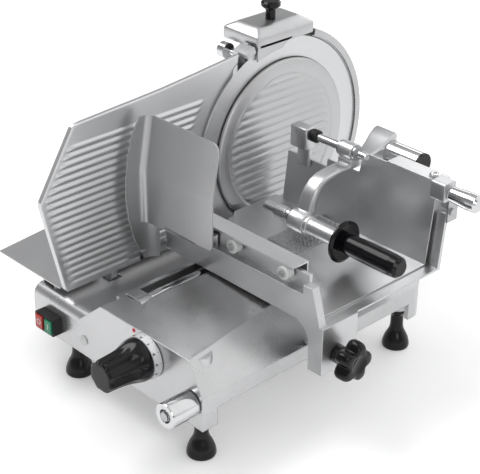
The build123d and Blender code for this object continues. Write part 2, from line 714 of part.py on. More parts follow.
def tangents(big, small):
    # outline round two circles, at the blade's axis and at the motor's axis
    span = math.hypot(motor_y, motor_z - spindle_z)
    lean = math.atan2(motor_z - spindle_z, motor_y)
    open_by = math.acos((big - small) / span)
    corners = []
    for turn in (lean + open_by, lean - open_by):
        corners.append(((big * math.cos(turn), spindle_z + big * math.sin(turn)),
                        (motor_y + small * math.cos(turn), motor_z + small * math.sin(turn))))
    far = (motor_y + small * math.cos(lean), motor_z + small * math.sin(lean))
    near = (-big * math.cos(lean), spindle_z - big * math.sin(lean))
    with BuildSketch(at_x(0), mode=Mode.PRIVATE) as loop:
        with BuildLine():
            ThreePointArc(corners[0][0], near, corners[1][0])
            Line(corners[1][0], corners[1][1])
            ThreePointArc(corners[1][1], far, corners[0][1])
            Line(corners[0][1], corners[0][0])
        make_face()
    return loop.sketch


with BuildPart() as blade_pulley:
    turned_x([(pulley_x[0], shaft_r), (pulley_x[0], pulley_flange_r), (pulley_x[0] + flange_thick, pulley_flange_r),
              (pulley_x[0] + flange_thick, pulley_r), (pulley_x[1] - flange_thick, pulley_r),
              (pulley_x[1] - flange_thick, pulley_flange_r), (pulley_x[1], pulley_flange_r), (pulley_x[1], shaft_r)])
save(blade_pulley, "blade_pulley")

with BuildPart() as motor_pulley:
    turned_x([(pulley_x[0], motor_shaft_r), (pulley_x[0], motor_pulley_flange_r),
              (pulley_x[0] + flange_thick, motor_pulley_flange_r), (pulley_x[0] + flange_thick, motor_pulley_r),
              (pulley_x[1] - flange_thick, motor_pulley_r), (pulley_x[1] - flange_thick, motor_pulley_flange_r),
              (pulley_x[1], motor_pulley_flange_r), (pulley_x[1], motor_shaft_r)], motor_y, motor_z)
    round_x(motor_shaft_x, motor_y, motor_z, motor_shaft_r)
save(motor_pulley, "motor_pulley")

with BuildPart() as drive_belt:
    extrude(tangents(pulley_r + belt_clear + belt_thick, motor_pulley_r + belt_clear + belt_thick).moved(
        Location((belt_x[0], 0, 0))), amount=length(belt_x))
    extrude(tangents(pulley_r + belt_clear, motor_pulley_r + belt_clear).moved(Location((belt_x[0] - over, 0, 0))),
            amount=length(belt_x) + 2 * over, mode=Mode.SUBTRACT)
save(drive_belt, "drive_belt")

with BuildPart() as drive_housing:
    extrude(tangents(housing_big_r, housing_small_r).moved(Location((housing_x[0], 0, 0))), amount=length(housing_x))
    fillet(drive_housing.faces().sort_by(Axis.X)[0].edges(), housing_wall * 2)
    extrude(tangents(housing_big_r - housing_wall, housing_small_r - housing_wall).moved(
        Location((housing_x[0] + housing_wall, 0, 0))), amount=length(housing_x), mode=Mode.SUBTRACT)
    round_x((housing_x[0] - over, housing_x[1]), motor_y, motor_z, motor_nose_r + running, mode=Mode.SUBTRACT)
    round_x((housing_x[0] - over, housing_x[1]), 0, spindle_z, tie_r + gap, mode=Mode.SUBTRACT)
save(drive_housing, "drive_housing")

with BuildPart() as motor:
    round_x(motor_x, motor_y, motor_z, motor_r)
    fillet(motor.faces().sort_by(Axis.X)[0].edges(), motor_round)
    for i in range(fin_count):
        turn = 2 * math.pi * i / fin_count
        round_x((motor_x[0] + 2 * motor_round, motor_x[1] - motor_round), motor_y + motor_r * math.cos(turn),
                motor_z + motor_r * math.sin(turn), fin_r, mode=Mode.SUBTRACT)
    round_x((motor_x[1] - over, housing_x[0] + housing_wall), motor_y, motor_z, motor_nose_r)
    round_x((motor_shaft_x[0] - over, housing_x[1]), motor_y, motor_z, motor_shaft_r + running, mode=Mode.SUBTRACT)
save(motor, "motor")

# Deflector that leads the slices off the back of the blade
deflector_sheet = 1.5
deflector_z = (150.0, 322.0)
deflector_flange_y = (-71.0, -61.0)
deflector_reach_x = -92.0
deflector_top_cut = 46.0
with BuildPart() as slice_deflector:
    slab((head_x[0] - deflector_sheet, head_x[0]), deflector_flange_y, deflector_z)
    prism(at_y(deflector_flange_y[1]), [
        (head_x[0], deflector_z[0]), (head_x[0], deflector_z[1]), (head_x[0] - deflector_top_cut / 2, deflector_z[1]),
        (deflector_reach_x, deflector_z[1] - deflector_top_cut), (deflector_reach_x, deflector_z[0])],
        deflector_sheet)
save(slice_deflector, "slice_deflector")

# Sharpener on top: housing with a sloped roof, its knob, the carrier with two stones and the side wheel
roof_x = (-66.0, 4.0)
roof_y = (-50.0, 58.0)
roof_z = (380.0, 395.0)
roof_top = 404.0
roof_inset = 14.0
roof_wall = 2.6
roof_gap = 4.5
roof_arch_r = blade_r + roof_gap
sharp_knob_x = -26.0
sharp_knob_y = 2.0
sharp_stem_r = 7.0
sharp_knob_points = [(0.0, 430.0), (11.0, 430.0), (13.5, 427.5), (13.5, 423.0), (10.5, 420.0), (7.0, 418.5), (7.0, 404.0),
                     (0.0, 404.0)]
carrier_x = (-60.0, -26.0)
carrier_y = (-32.0, 34.0)
carrier_z = (374.0, 393.0)
carrier_top_x = (-49.0, -28.0)
carrier_top_y = (-20.0, 24.0)
carrier_leg_z = 344.0
carrier_leg_y = (0.0, 24.0)
stone_places = [(-20.0, 371.0), (22.0, 371.0)]
stone_r = 12.0
stone_x = [(-11.0, -5.6), (-12.0, -6.6)]
stone_shaft_r = 3.0
stone_shaft_x = [(-44.0, -5.6), (-44.0, -6.6)]
carrier_lug_z = 364.0
carrier_lug_half = 7.0
carrier_lug_x = (-44.0, -28.0)
wheel_x = (-61.0, -49.0)
wheel_r = 11.0
wheel_stem_x = (-61.0, -18.0)
with BuildPart() as sharpener_housing:
    slab(roof_x, roof_y, roof_z)
    with BuildSketch(at_z(roof_z[1])) as eave:
        with Locations((middle(roof_x), middle(roof_y))):
            Rectangle(length(roof_x), length(roof_y))
    with BuildSketch(at_z(roof_top)) as flat:
        with Locations((middle(roof_x), middle(roof_y))):
            Rectangle(length(roof_x) - 2 * roof_inset, length(roof_y) - 2 * roof_inset)
    loft(ruled=True)
    slab((roof_x[0] + roof_wall, roof_x[1] - roof_wall), (roof_y[0] + roof_wall, roof_y[1] - roof_wall),
         (roof_z[0] - over, roof_z[1] - over), mode=Mode.SUBTRACT)
    with BuildSketch(at_z(roof_z[1] - over - roof_wall / 2)) as under:
        with Locations((middle(roof_x), middle(roof_y))):
            Rectangle(length(roof_x) - 2 * roof_wall, length(roof_y) - 2 * roof_wall)
    with BuildSketch(at_z(roof_top - roof_wall)) as crown:
        with Locations((middle(roof_x), middle(roof_y))):
            Rectangle(length(roof_x) - 2 * roof_inset - roof_wall, length(roof_y) - 2 * roof_inset - roof_wall)
    loft(ruled=True, mode=Mode.SUBTRACT)
    round_x((roof_x[1] - 2 * roof_wall, roof_x[1] + over), 0, spindle_z, roof_arch_r, mode=Mode.SUBTRACT)
save(sharpener_housing, "sharpener_housing")

with BuildPart() as sharpener_knob:
    turned_z(sharp_knob_points, sharp_knob_x, sharp_knob_y)
save(sharpener_knob, "sharpener_knob")

with BuildPart() as stone_carrier:
    slab(carrier_x, carrier_y, carrier_z)
    slab(carrier_top_x, carrier_top_y, (carrier_z[1] - over, roof_top - roof_wall))
    slab((carrier_x[0], head_x[0] - wall), carrier_leg_y, (carrier_leg_z, carrier_z[0] + over))
    for (y, z), xs in zip(stone_places, stone_x):
        slab(carrier_lug_x, (y - carrier_lug_half, y + carrier_lug_half), (carrier_lug_z, carrier_z[0] + over))
    for (y, z), xs in zip(stone_places, stone_x):
        round_x((carrier_lug_x[0] - over, carrier_lug_x[1] + over), y, z, stone_shaft_r + running,
                mode=Mode.SUBTRACT)
    round_z(post_x, post_y, (carrier_leg_z - over, carrier_z[0]), post_r + running, mode=Mode.SUBTRACT)
save(stone_carrier, "stone_carrier")

for name, (y, z), xs, shaft in zip(("grinding_stone", "deburring_stone"), stone_places, stone_x, stone_shaft_x):
    with BuildPart() as stone:
        round_x(xs, y, z, stone_r)
        round_x((shaft[0], xs[1]), y, z, stone_shaft_r)
    save(stone, name)

with BuildPart() as side_wheel:
    round_x(wheel_x, wheel_y, wheel_z, wheel_r)
    round_x(wheel_stem_x, wheel_y, wheel_z, wheel_stem_r - running)
save(side_wheel, "side_wheel")

# Carriage frame: a pan with a front beam, a leaning rear wall and a leg outside the base
beam_x = (20.0, 298.0)
beam_y = (-228.0, -216.5)
beam_end = [(20.0, 155.0), (298.0, 155.0), (283.0, 205.0), (268.0, 205.0), (268.0, 192.0), (20.0, 192.0)]
rail_x = (26.0, 268.0)
rail_y = (-217.0, -212.0)
rail_top = 214.0
pan_x = (17.0, 300.0)
pan_y = (-217.0, -8.0)
pan_z = (155.0, 157.6)
pan_cut_x = 52.0
pan_cut_y = -150.0
back_x = (30.0, 300.0)
back_foot_y = -13.0
back_top_y = -2.5
back_top_z = 250.0
back_low_z = 226.0
back_low_x = 280.0
back_thick = 5.0
back_round = 12.0
leg_y = (-228.0, -165.0)
leg_profile = [(303.0, 92.0), (303.0, 157.6), (262.0, 157.6), (262.0, 153.0), (272.0, 147.0), (278.0, 137.0),
               (280.0, 125.0), (280.0, 92.0)]
leg_round = 8.0
slide_block_x = (69.0, 95.0)
slide_block_y = (-194.0, -118.0)
slide_block_z = (127.0, 156.0)
bush_r = 10.5
bush_length = 22.0
pad_x = (128.0, 152.0)
pad_z = (151.6, 155.0)
star_y = -202.0
star_z = 115.0
star_bore = 5.0
pin_r = 3.0
lug_place = (2.0, 236.0)
lug_r = 7.0
lug_length = 14.0
lock_plate_screw_r = 2.5
roller_places = [(147.0, 208.5), (236.0, 208.5)]
roller_r = 9.0
roller_y = (-231.5, -219.0)
with BuildPart() as carriage_frame:
    prism(at_y(beam_y[0]), beam_end, -length(beam_y))
    slab(rail_x, rail_y, (beam_end[-1][1] - wall, rail_top))
    with BuildSketch(at_z(pan_z[0])):
        with BuildLine():
            Polyline((pan_cut_x, pan_y[0]), (pan_x[1], pan_y[0]), (pan_x[1], pan_y[1]), (pan_x[0], pan_y[1]),
                     (pan_x[0], pan_cut_y + (pan_cut_x - pan_x[0])), (pan_cut_x, pan_cut_y), close=True)
        make_face()
    extrude(amount=length(pan_z))
    prism(at_x(back_x[0]), [
        (back_foot_y, pan_z[0]), (back_foot_y + back_thick, pan_z[0]),
        (back_top_y + back_thick, back_top_z), (back_top_y, back_top_z)], length(back_x))
    slab((back_x[0] - over, back_low_x), (back_foot_y - wall, back_top_y + 2 * wall), (back_low_z, back_top_z + over),
         mode=Mode.SUBTRACT)
    prism(at_y(leg_y[0]), leg_profile, -length(leg_y))
    slab(slide_block_x, slide_block_y, slide_block_z)
    slab(pad_x, slide_block_y, (pad_z[0], pad_z[1] + over))
    fillet(carriage_frame.edges().filter_by(Axis.Z).group_by(Axis.X)[-1].sort_by(Axis.Y)[-1], back_thick / 2)
    round_y(rod_x, (slide_block_y[0] - over, slide_block_y[1] + over), rod_z, rod_r + over, mode=Mode.SUBTRACT)
    for ys in ((slide_block_y[0] - over, slide_block_y[0] + bush_length),
               (slide_block_y[1] - bush_length, slide_block_y[1] + over)):
        round_y(rod_x, ys, rod_z, bush_r, mode=Mode.SUBTRACT)
    round_x((leg_profile[-1][0] - over, leg_profile[0][0] + over), star_y, star_z, star_bore + running,
            mode=Mode.SUBTRACT)
    for x, z in roller_places:
        round_y(x, (rail_y[0] - over, rail_y[1] + over), z, pin_r, mode=Mode.SUBTRACT)
    round_x((back_x[1] - lug_length, back_x[1]), lug_place[0], lug_place[1], lug_r)
    round_x((back_x[1] - lug_length, back_x[1] + over), lug_place[0], lug_place[1], lock_plate_screw_r,
            mode=Mode.SUBTRACT)
save(carriage_frame, "carriage_frame")

with BuildPart() as carriage_bushings:
    for ys in ((slide_block_y[0], slide_block_y[0] + bush_length),
               (slide_block_y[1] - bush_length, slide_block_y[1])):
        round_y(rod_x, ys, rod_z, bush_r)
        round_y(rod_x, (ys[0] - over, ys[1] + over), rod_z, rod_r + running, mode=Mode.SUBTRACT)
save(carriage_bushings, "carriage_bushings")

# Star knob with its clamping screw and pad
star_hub_r = 12.0
star_hub_x = (303.3, 318.0)
star_x = (318.0, 340.0)
star_r = 27.0
star_core_r = 17.0
star_lobes = 5
star_lobe_r = 9.5
star_lobe_ring = 17.5
star_face_round = 3.0
stud_x = (262.5, 330.0)
stud_pad_x = (258.0, 262.5)
stud_pad_r = 9.0
with BuildPart() as star_knob:
    with BuildSketch(at_x(star_x[0])):
        with Locations((star_y, star_z)):
            Circle(star_core_r)
            with PolarLocations(star_lobe_ring, star_lobes, start_angle=90):
                Circle(star_lobe_r)
    extrude(amount=length(star_x))
    fillet(star_knob.faces().sort_by(Axis.X)[-1].edges(), star_face_round)
    round_x((star_hub_x[0], star_hub_x[1] + over), star_y, star_z, star_hub_r)
    round_x((star_hub_x[0] - over, stud_x[1]), star_y, star_z, star_bore, mode=Mode.SUBTRACT)
save(star_knob, "star_knob")

with BuildPart() as clamp_stud:
    round_x(stud_x, star_y, star_z, star_bore)
    round_x(stud_pad_x, star_y, star_z, stud_pad_r)
save(clamp_stud, "clamp_stud")

# Hand guard: a folded sheet with a wing beside the blade
guard_sheet = 2.0
guard_face_y = -258.0
wing_x = (10.0, 12.0)
wing_outline = [(-256.0, 341.0), (-264.0, 341.5), (-273.0, 326.5), (-280.0, 301.5), (-285.0, 267.5),
                (-285.5, 239.5), (-281.6, 209.5), (-272.7, 177.5), (-260.0, 147.5), (-256.0, 147.5)]
face_outline = [(10.0, 201.5), (140.0, 208.5), (140.0, 276.5), (10.0, 276.5)]
lean_y = -246.0
lean_top_z = 347.5
lean_outline = [(10.0, 274.0), (140.0, 274.0), (142.0, 337.5), (124.0, 347.5), (10.0, 347.5)]
turn_r = 30.0
turn_angle = 45.0
tab_x = (50.0, 110.0)
tab_z = (206.0, 208.0)
tab_web_y = (-221.0, -219.0)
tab_foot_y = (-228.0, -219.0)
tab_reach_y = -257.0
with BuildPart() as hand_guard:
    prism(at_x(wing_x[0]), wing_outline, guard_sheet)
    prism(at_y(guard_face_y), face_outline, -guard_sheet)
    # the upper part leans back
    with BuildSketch(at_x(wing_x[0]), mode=Mode.PRIVATE) as lean:
        with BuildLine():
            Polyline((guard_face_y, face_outline[2][1] - guard_sheet / 2), (lean_y, lean_top_z),
                     (lean_y + guard_sheet, lean_top_z),
                     (guard_face_y + guard_sheet, face_outline[2][1] - guard_sheet / 2), close=True)
        make_face()
    leaning = extrude(lean.sketch, amount=lean_outline[2][0] - wing_x[0] + over, mode=Mode.PRIVATE)
    with BuildSketch(at_y(guard_face_y - turn_r), mode=Mode.PRIVATE) as lean_face:
        with BuildLine():
            Polyline(*lean_outline, close=True)
        make_face()
    cutter = extrude(lean_face.sketch, amount=-2 * turn_r, mode=Mode.PRIVATE)
    add(leaning & cutter)
    # the lower part curves round towards the beam
    with BuildSketch(at_z(wing_outline[-1][1])):
        centre = (wing_x[0] + turn_r, guard_face_y)
        end = (centre[0] - turn_r * math.cos(math.radians(turn_angle)),
               centre[1] + turn_r * math.sin(math.radians(turn_angle)))
        inner = turn_r - guard_sheet
        inner_end = (centre[0] - inner * math.cos(math.radians(turn_angle)),
                     centre[1] + inner * math.sin(math.radians(turn_angle)))
        half = math.radians(turn_angle / 2)
        with BuildLine():
            ThreePointArc((wing_x[0], guard_face_y), (centre[0] - turn_r * math.cos(half), centre[1] + turn_r * math.sin(half)),
                          end)
            Line(end, inner_end)
            ThreePointArc(inner_end, (centre[0] - inner * math.cos(half), centre[1] + inner * math.sin(half)),
                          (wing_x[1], guard_face_y))
            Line((wing_x[1], guard_face_y), (wing_x[0], guard_face_y))
        make_face()
    extrude(amount=face_outline[0][1] - wing_outline[-1][1])
    # hidden tab that carries the guard on the beam
    slab(tab_x, (tab_reach_y, tab_web_y[1]), tab_z)
    slab(tab_x, tab_web_y, (beam_end[-1][1], tab_z[1]))
    slab(tab_x, tab_foot_y, (beam_end[-1][1], beam_end[-1][1] + guard_sheet))
save(hand_guard, "hand_guard")

# Rollers under the product table's front flange
pin_head_r = 4.6
pin_head_y = (-234.0, -232.0)
roller_bevel = 1.0
for name, (x, z) in zip(("roller_left", "roller_right"), roller_places):
    with BuildPart() as roller:
        round_y(x, roller_y, z, roller_r)
        chamfer(roller.edges().filter_by(GeomType.CIRCLE), roller_bevel)
        round_y(x, (roller_y[0] - over, roller_y[1] + over), z, pin_r + running, mode=Mode.SUBTRACT)
    save(roller, name)

with BuildPart() as roller_pins:
    for x, z in roller_places:
        round_y(x, (pin_head_y[1], rail_y[1]), z, pin_r)
        round_y(x, pin_head_y, z, pin_head_r)
        round_y(x, (roller_y[1] + gap, rail_y[0]), z, pin_head_r)
save(roller_pins, "roller_pins")

# Product table: one bent sheet with a floor, a front wall with a flange and a leaning rear wall
sheet = 2.0
floor_z = 160.0
floor_outline = [(12.0, -18.2), (12.0, -98.0), (58.0, -144.0), (58.0, -203.0), (250.0, -203.0), (250.0, -215.5),
                 (284.0, -215.5), (284.0, -18.2)]
front_wall_y = (-203.0, -201.0)
front_wall_top = 220.0
flange_x = (40.0, 250.0)
flange_y = (-228.5, -201.0)
flange_z = (218.2, 220.2)
flange_hem = 2.4
rear_foot_y = -20.0
rear_top_y = -6.0
rear_top_z = 273.0
rear_left_x = 28.0
rear_step_x = 200.0
rear_low_x = 104.0
rear_low_z = 231.0
rear_dip_z = 223.0
rear_dip_x = 118.0
rear_flange = 25.0
rear_screw_x = 270.0
rear_screw_r = 5.5
with BuildPart() as product_table:
    prism(at_z(floor_z - sheet), floor_outline, sheet)
    slab((flange_x[0], flange_x[1]), front_wall_y, (floor_z, front_wall_top))
    slab((flange_x[0], floor_outline[2][0]), front_wall_y, (floor_z - sheet - over, floor_z), mode=Mode.SUBTRACT)
    slab(flange_x, flange_y, flange_z)
    slab(flange_x, (flange_y[0], flange_y[0] + sheet), (flange_z[0], flange_z[1] + flange_hem / 2))
    with BuildSketch(at_x(rear_left_x)):
        with BuildLine():
            Polyline((rear_foot_y, floor_z - sheet), (rear_foot_y + sheet, floor_z - sheet),
                     (rear_top_y + sheet, rear_top_z), (rear_top_y, rear_top_z), close=True)
        make_face()
    extrude(amount=floor_outline[-1][0] - rear_left_x)
    prism(at_y(rear_foot_y - wall), [
        (rear_left_x - over, rear_low_z), (rear_low_x, rear_low_z), (rear_dip_x, rear_dip_z), (rear_step_x, rear_top_z - wall),
        (rear_step_x, rear_top_z + over), (rear_left_x - over, rear_top_z + over)], -4 * wall, mode=Mode.SUBTRACT)
    slab((rear_step_x, floor_outline[-1][0]), (rear_top_y, rear_top_y + rear_flange),
         (rear_top_z - sheet, rear_top_z))
    round_z(rear_screw_x, rear_top_y + rear_flange / 2, (rear_top_z - sheet - over, rear_top_z + over), rear_screw_r,
            mode=Mode.SUBTRACT)
save(product_table, "product_table")

# Grip plate on the table's floor, with rows of spikes along its right half
grip_x = (100.0, 156.0)
grip_y = (-120.0, -24.0)
grip_thick = 2.0
grip_groove_x = [106.0, 113.0, 120.0]
grip_groove_half = 1.0
grip_groove_depth = 0.8
spike_x = [129.0, 136.5, 144.0, 151.5]
spike_pitch = 6.0
spike_count = 15
spike_first_y = -114.0
spike_r = 2.0
spike_tip_r = 0.4
spike_height = 5.0
with BuildPart() as spike_plate:
    slab(grip_x, grip_y, (floor_z, floor_z + grip_thick))
    for x in grip_groove_x:
        slab((x - grip_groove_half, x + grip_groove_half), (grip_y[0] - over, grip_y[1] + over),
             (floor_z + grip_thick - grip_groove_depth, floor_z + grip_thick + over), mode=Mode.SUBTRACT)
    for x in spike_x:
        for i in range(spike_count):
            with Locations((x, spike_first_y + spike_pitch * i, floor_z + grip_thick + spike_height / 2)):
                Cone(spike_r, spike_tip_r, spike_height)
save(spike_plate, "spike_plate")

# Press arm at the rear of the table: the rod turns in its block and the arm slides along the rod
press_y = -17.5
press_z = 273.0
press_r = 5.5
press_rod_x = (50.0, 176.0)
rod_block_x = (48.0, 78.0)
rod_block_y = (-30.0, -12.5)
rod_block_z = (222.0, 283.0)
rod_block_round = 5.0
collar_x = (78.3, 90.0)
collar_r = 9.0
collar_chamfer = 1.5
arm_sleeve_x = (130.0, 160.0)
arm_sleeve_r = 8.0
arm_sleeve_flange_r = 10.0
arm_body_x = (134.0, 156.0)
arm_boss_r = 11.5
arm_upper = [(62.0, 276.0), (46.0, 267.0), (32.0, 261.5), (12.0, 258.0), (-16.0, 256.5), (-45.0, 256.5),
             (-66.0, 255.0), (-82.0, 250.0), (-94.0, 238.0), (-100.0, 222.0), (-104.0, 206.0)]
arm_lower = [(-90.0, 206.0), (-87.0, 222.0), (-82.0, 235.0), (-74.0, 243.0), (-62.0, 247.5), (-28.0, 249.5),
             (-8.0, 249.5), (12.0, 248.0), (32.0, 243.0), (46.0, 236.5)]
arm_end_r = 18.0
arm_fin_x = [119.0, 134.0, 156.0]
arm_fin = [[(52.0, 264.0), (55.0, 271.0), (61.0, 277.0), (67.0, 275.0), (65.0, 266.0), (58.0, 261.0)],
           [(12.0, 257.0), (30.0, 267.5), (47.0, 284.0), (66.0, 275.0), (60.0, 258.0), (14.0, 250.0)],
           [(12.0, 257.0), (36.0, 262.0), (47.0, 267.0), (62.0, 275.0), (60.0, 258.0), (14.0, 250.0)]]
arm_web = [(-28.0, 254.0), (-8.0, 254.0), (-7.5, 273.0), (-27.5, 273.0)]
hub_x = (132.0, 158.0)
press_hub_r = 15.0
pusher_y = -105.0
pusher_z = 199.0
pusher_r = 6.0
sleeve_tube_x = (158.0, 217.0)
sleeve_tube_r = 11.5
sleeve_rim_x = (158.0, 163.0)
sleeve_rim_r = 13.0
tube_y = 54.0
tube_z = 252.0
tube_r = 16.0
tube_x = (156.0, 209.0)
tube_wall = 1.6
tube_cap_x = (209.0, 212.0)
tube_plug = 8.0
with BuildPart() as press_rod:
    round_x(press_rod_x, press_y, press_z, press_r)
    chamfer(press_rod.edges().filter_by(GeomType.CIRCLE).sort_by(Axis.X)[-1], over)
save(press_rod, "press_rod")

with BuildPart() as rod_block:
    slab(rod_block_x, rod_block_y, rod_block_z)
    fillet(rod_block.edges().filter_by(Axis.X).group_by(Axis.Z)[-1], rod_block_round)
    round_x((press_rod_x[0] - gap, rod_block_x[1] + over), press_y, press_z, press_r + running,
            mode=Mode.SUBTRACT)
save(rod_block, "rod_block")

with BuildPart() as rod_collar:
    round_x(collar_x, press_y, press_z, collar_r)
    chamfer(rod_collar.edges().filter_by(GeomType.CIRCLE), collar_chamfer)
    round_x((collar_x[0] - over, collar_x[1] + over), press_y, press_z, press_r, mode=Mode.SUBTRACT)
save(rod_collar, "rod_collar")

with BuildPart() as arm_sleeve:
    round_x(arm_sleeve_x, press_y, press_z, arm_sleeve_r)
    round_x((arm_sleeve_x[0], arm_body_x[0] - gap), press_y, press_z, arm_sleeve_flange_r)
    round_x((arm_body_x[1] + gap, arm_sleeve_x[1]), press_y, press_z, arm_sleeve_flange_r)
    round_x((arm_sleeve_x[0] - over, arm_sleeve_x[1] + over), press_y, press_z, press_r + running,
            mode=Mode.SUBTRACT)
save(arm_sleeve, "arm_sleeve")

with BuildPart() as press_arm:
    with BuildSketch(at_x(arm_body_x[0])):
        with BuildLine():
            upper = Spline(*arm_upper)
            lower = Spline(*arm_lower)
            Line(upper @ 1, lower @ 0)
            Line(lower @ 1, upper @ 0)
        make_face()
        with Locations((press_y, press_z)):
            Circle(arm_boss_r)
        with Locations((tube_y, tube_z)):
            Circle(arm_end_r)
    extrude(amount=length(arm_body_x))
    prism(at_x(arm_body_x[0]), arm_web, length(arm_body_x))
    for i in range(len(arm_fin) - 1):
        with BuildSketch(at_x(arm_fin_x[i])):
            with BuildLine():
                Polyline(*arm_fin[i], close=True)
            make_face()
        with BuildSketch(at_x(arm_fin_x[i + 1])):
            with BuildLine():
                Polyline(*arm_fin[i + 1], close=True)
            make_face()
        loft()
    round_x(hub_x, pusher_y, pusher_z, press_hub_r)
    round_x(sleeve_tube_x, pusher_y, pusher_z, sleeve_tube_r)
    round_x(sleeve_rim_x, pusher_y, pusher_z, sleeve_rim_r)
    round_x((hub_x[0] - over, sleeve_tube_x[1] + over), pusher_y, pusher_z, pusher_r, mode=Mode.SUBTRACT)
    round_x((arm_body_x[0] - over, arm_body_x[1] + over), press_y, press_z, arm_sleeve_r + running,
            mode=Mode.SUBTRACT)
save(press_arm, "press_arm")

with BuildPart() as arm_tube:
    round_x(tube_x, tube_y, tube_z, tube_r)
    round_x((tube_x[0] + tube_wall, tube_x[1] + over), tube_y, tube_z, tube_r - tube_wall, mode=Mode.SUBTRACT)
save(arm_tube, "arm_tube")

with BuildPart() as arm_tube_cap:
    round_x(tube_cap_x, tube_y, tube_z, tube_r)
    round_x((tube_cap_x[0] - tube_plug, tube_cap_x[0]), tube_y, tube_z, tube_r - tube_wall)
save(arm_tube_cap, "arm_tube_cap")

# Pusher through the arm's lower end: rod with a collar, and the handle with its guard disc
pusher_x = (82.0, 300.0)
pusher_end_r = 7.5
pusher_end_x = (82.0, 104.0)
end_collar_x = (104.0, 128.0)
end_collar_r = 10.5
end_groove_x = (121.0, 123.0)
end_groove = 1.0
disc_points = [(217.0, 6.0), (217.0, 25.0), (219.0, 28.0), (221.5, 28.0), (223.5, 24.0), (223.5, 6.0)]
handle_points = [(223.5, 6.0), (223.5, 12.5), (230.0, 13.5), (262.0, 14.5), (300.0, 14.5), (311.0, 13.6), (315.0, 10.0),
                 (315.0, 0.0), (300.0, 0.0), (300.0, 6.0)]
with BuildPart() as pusher_shaft:
    round_x(pusher_x, pusher_y, pusher_z, pusher_r)
    round_x(pusher_end_x, pusher_y, pusher_z, pusher_end_r)
    turned_x([(end_collar_x[0], 0), (end_collar_x[0], end_collar_r), (end_groove_x[0], end_collar_r),
              (end_groove_x[0], end_collar_r - end_groove), (end_groove_x[1], end_collar_r - end_groove),
              (end_groove_x[1], end_collar_r), (end_collar_x[1], end_collar_r), (end_collar_x[1], 0)],
             pusher_y, pusher_z)
save(pusher_shaft, "pusher_shaft")

with BuildPart() as pusher_handle:
    turned_x(disc_points, pusher_y, pusher_z)
    turned_x(handle_points, pusher_y, pusher_z)
save(pusher_handle, "pusher_handle")

# Table lock at the right end: bracket on the frame, block on the table and a sprung knob
lock_block_x = (284.0, 306.0)
lock_block_y = (-20.0, 2.0)
lock_block_z = (256.0, 281.0)
lock_block_round = 3.0
lock_axis_y = -9.0
lock_axis_z = 267.0
lock_pin_r = 4.0
lock_pin_x = (292.0, 320.0)
lock_knob_points = [(306.5, 0.0), (306.5, 7.0), (310.0, 7.0), (311.0, 10.0), (338.0, 12.0), (349.0, 11.5),
                    (352.0, 8.5), (352.0, 0.0)]
lock_plate_x = (300.0, 303.0)
lock_plate_y = (-4.8, 14.0)
lock_plate_z = (222.0, 252.0)
lock_plate_head_r = 5.0
lock_plate_head = 3.0
lock_plate_screw_length = 9.0
with BuildPart() as lock_block:
    slab(lock_block_x, lock_block_y, lock_block_z)
    fillet(lock_block.edges().filter_by(Axis.X), lock_block_round)
    round_x((lock_pin_x[0], lock_block_x[1] + over), lock_axis_y, lock_axis_z, lock_pin_r + running,
            mode=Mode.SUBTRACT)
save(lock_block, "lock_block")

with BuildPart() as lock_knob:
    turned_x(lock_knob_points, lock_axis_y, lock_axis_z)
    round_x((lock_pin_x[0] + over, lock_knob_points[0][0] + over), lock_axis_y, lock_axis_z, lock_pin_r)
save(lock_knob, "lock_knob")

with BuildPart() as lock_bracket:
    slab(lock_plate_x, lock_plate_y, lock_plate_z)
    round_x((lock_plate_x[0] - over, lock_plate_x[1] + over), lug_place[0], lug_place[1],
            lock_plate_screw_r + running, mode=Mode.SUBTRACT)
save(lock_bracket, "lock_bracket")

with BuildPart() as lock_screw:
    round_x((lock_plate_x[1], lock_plate_x[1] + lock_plate_head), lug_place[0], lug_place[1], lock_plate_head_r)
    round_x((lock_plate_x[1] - lock_plate_screw_length, lock_plate_x[1]), lug_place[0], lug_place[1],
            lock_plate_screw_r)
save(lock_screw, "lock_screw")
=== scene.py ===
import math

import bpy
import bmesh
from mathutils import Matrix, Vector


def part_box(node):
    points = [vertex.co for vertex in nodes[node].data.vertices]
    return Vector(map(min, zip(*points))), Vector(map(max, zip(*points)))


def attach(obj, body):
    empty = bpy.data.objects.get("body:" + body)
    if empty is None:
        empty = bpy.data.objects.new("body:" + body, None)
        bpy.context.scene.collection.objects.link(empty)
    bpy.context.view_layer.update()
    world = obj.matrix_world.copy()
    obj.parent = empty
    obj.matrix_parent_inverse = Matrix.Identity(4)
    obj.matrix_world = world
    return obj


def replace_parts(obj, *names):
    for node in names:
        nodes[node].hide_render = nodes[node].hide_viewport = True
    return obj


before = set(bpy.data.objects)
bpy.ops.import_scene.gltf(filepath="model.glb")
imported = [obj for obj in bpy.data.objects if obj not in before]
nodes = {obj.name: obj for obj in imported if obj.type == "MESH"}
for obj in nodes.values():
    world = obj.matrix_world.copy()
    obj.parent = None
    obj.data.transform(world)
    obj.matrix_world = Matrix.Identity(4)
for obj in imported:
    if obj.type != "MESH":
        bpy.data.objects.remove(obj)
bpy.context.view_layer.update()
mm = 0.001

# Materials: grain scales are per metre, and a wander is how far the roughness strays

metal_share = 0.9
bevel_samples = 4
cast_cloud = 14.0
cast_grain = 900.0
cast_wander = 0.03
cast_bump = 0.06
cast_bump_depth = 0.04 * mm
brushed_cloud = 9.0
brushed_grain = 900.0
brushed_wander = 0.04
brushed_shares = (0.4, 0.6)
brushed_bump_depth = 0.02 * mm
plain_cloud = 30.0
plain_wander = 0.05
plain_bump = 0.2
cool_shares = (1.0, 1.005, 1.015)


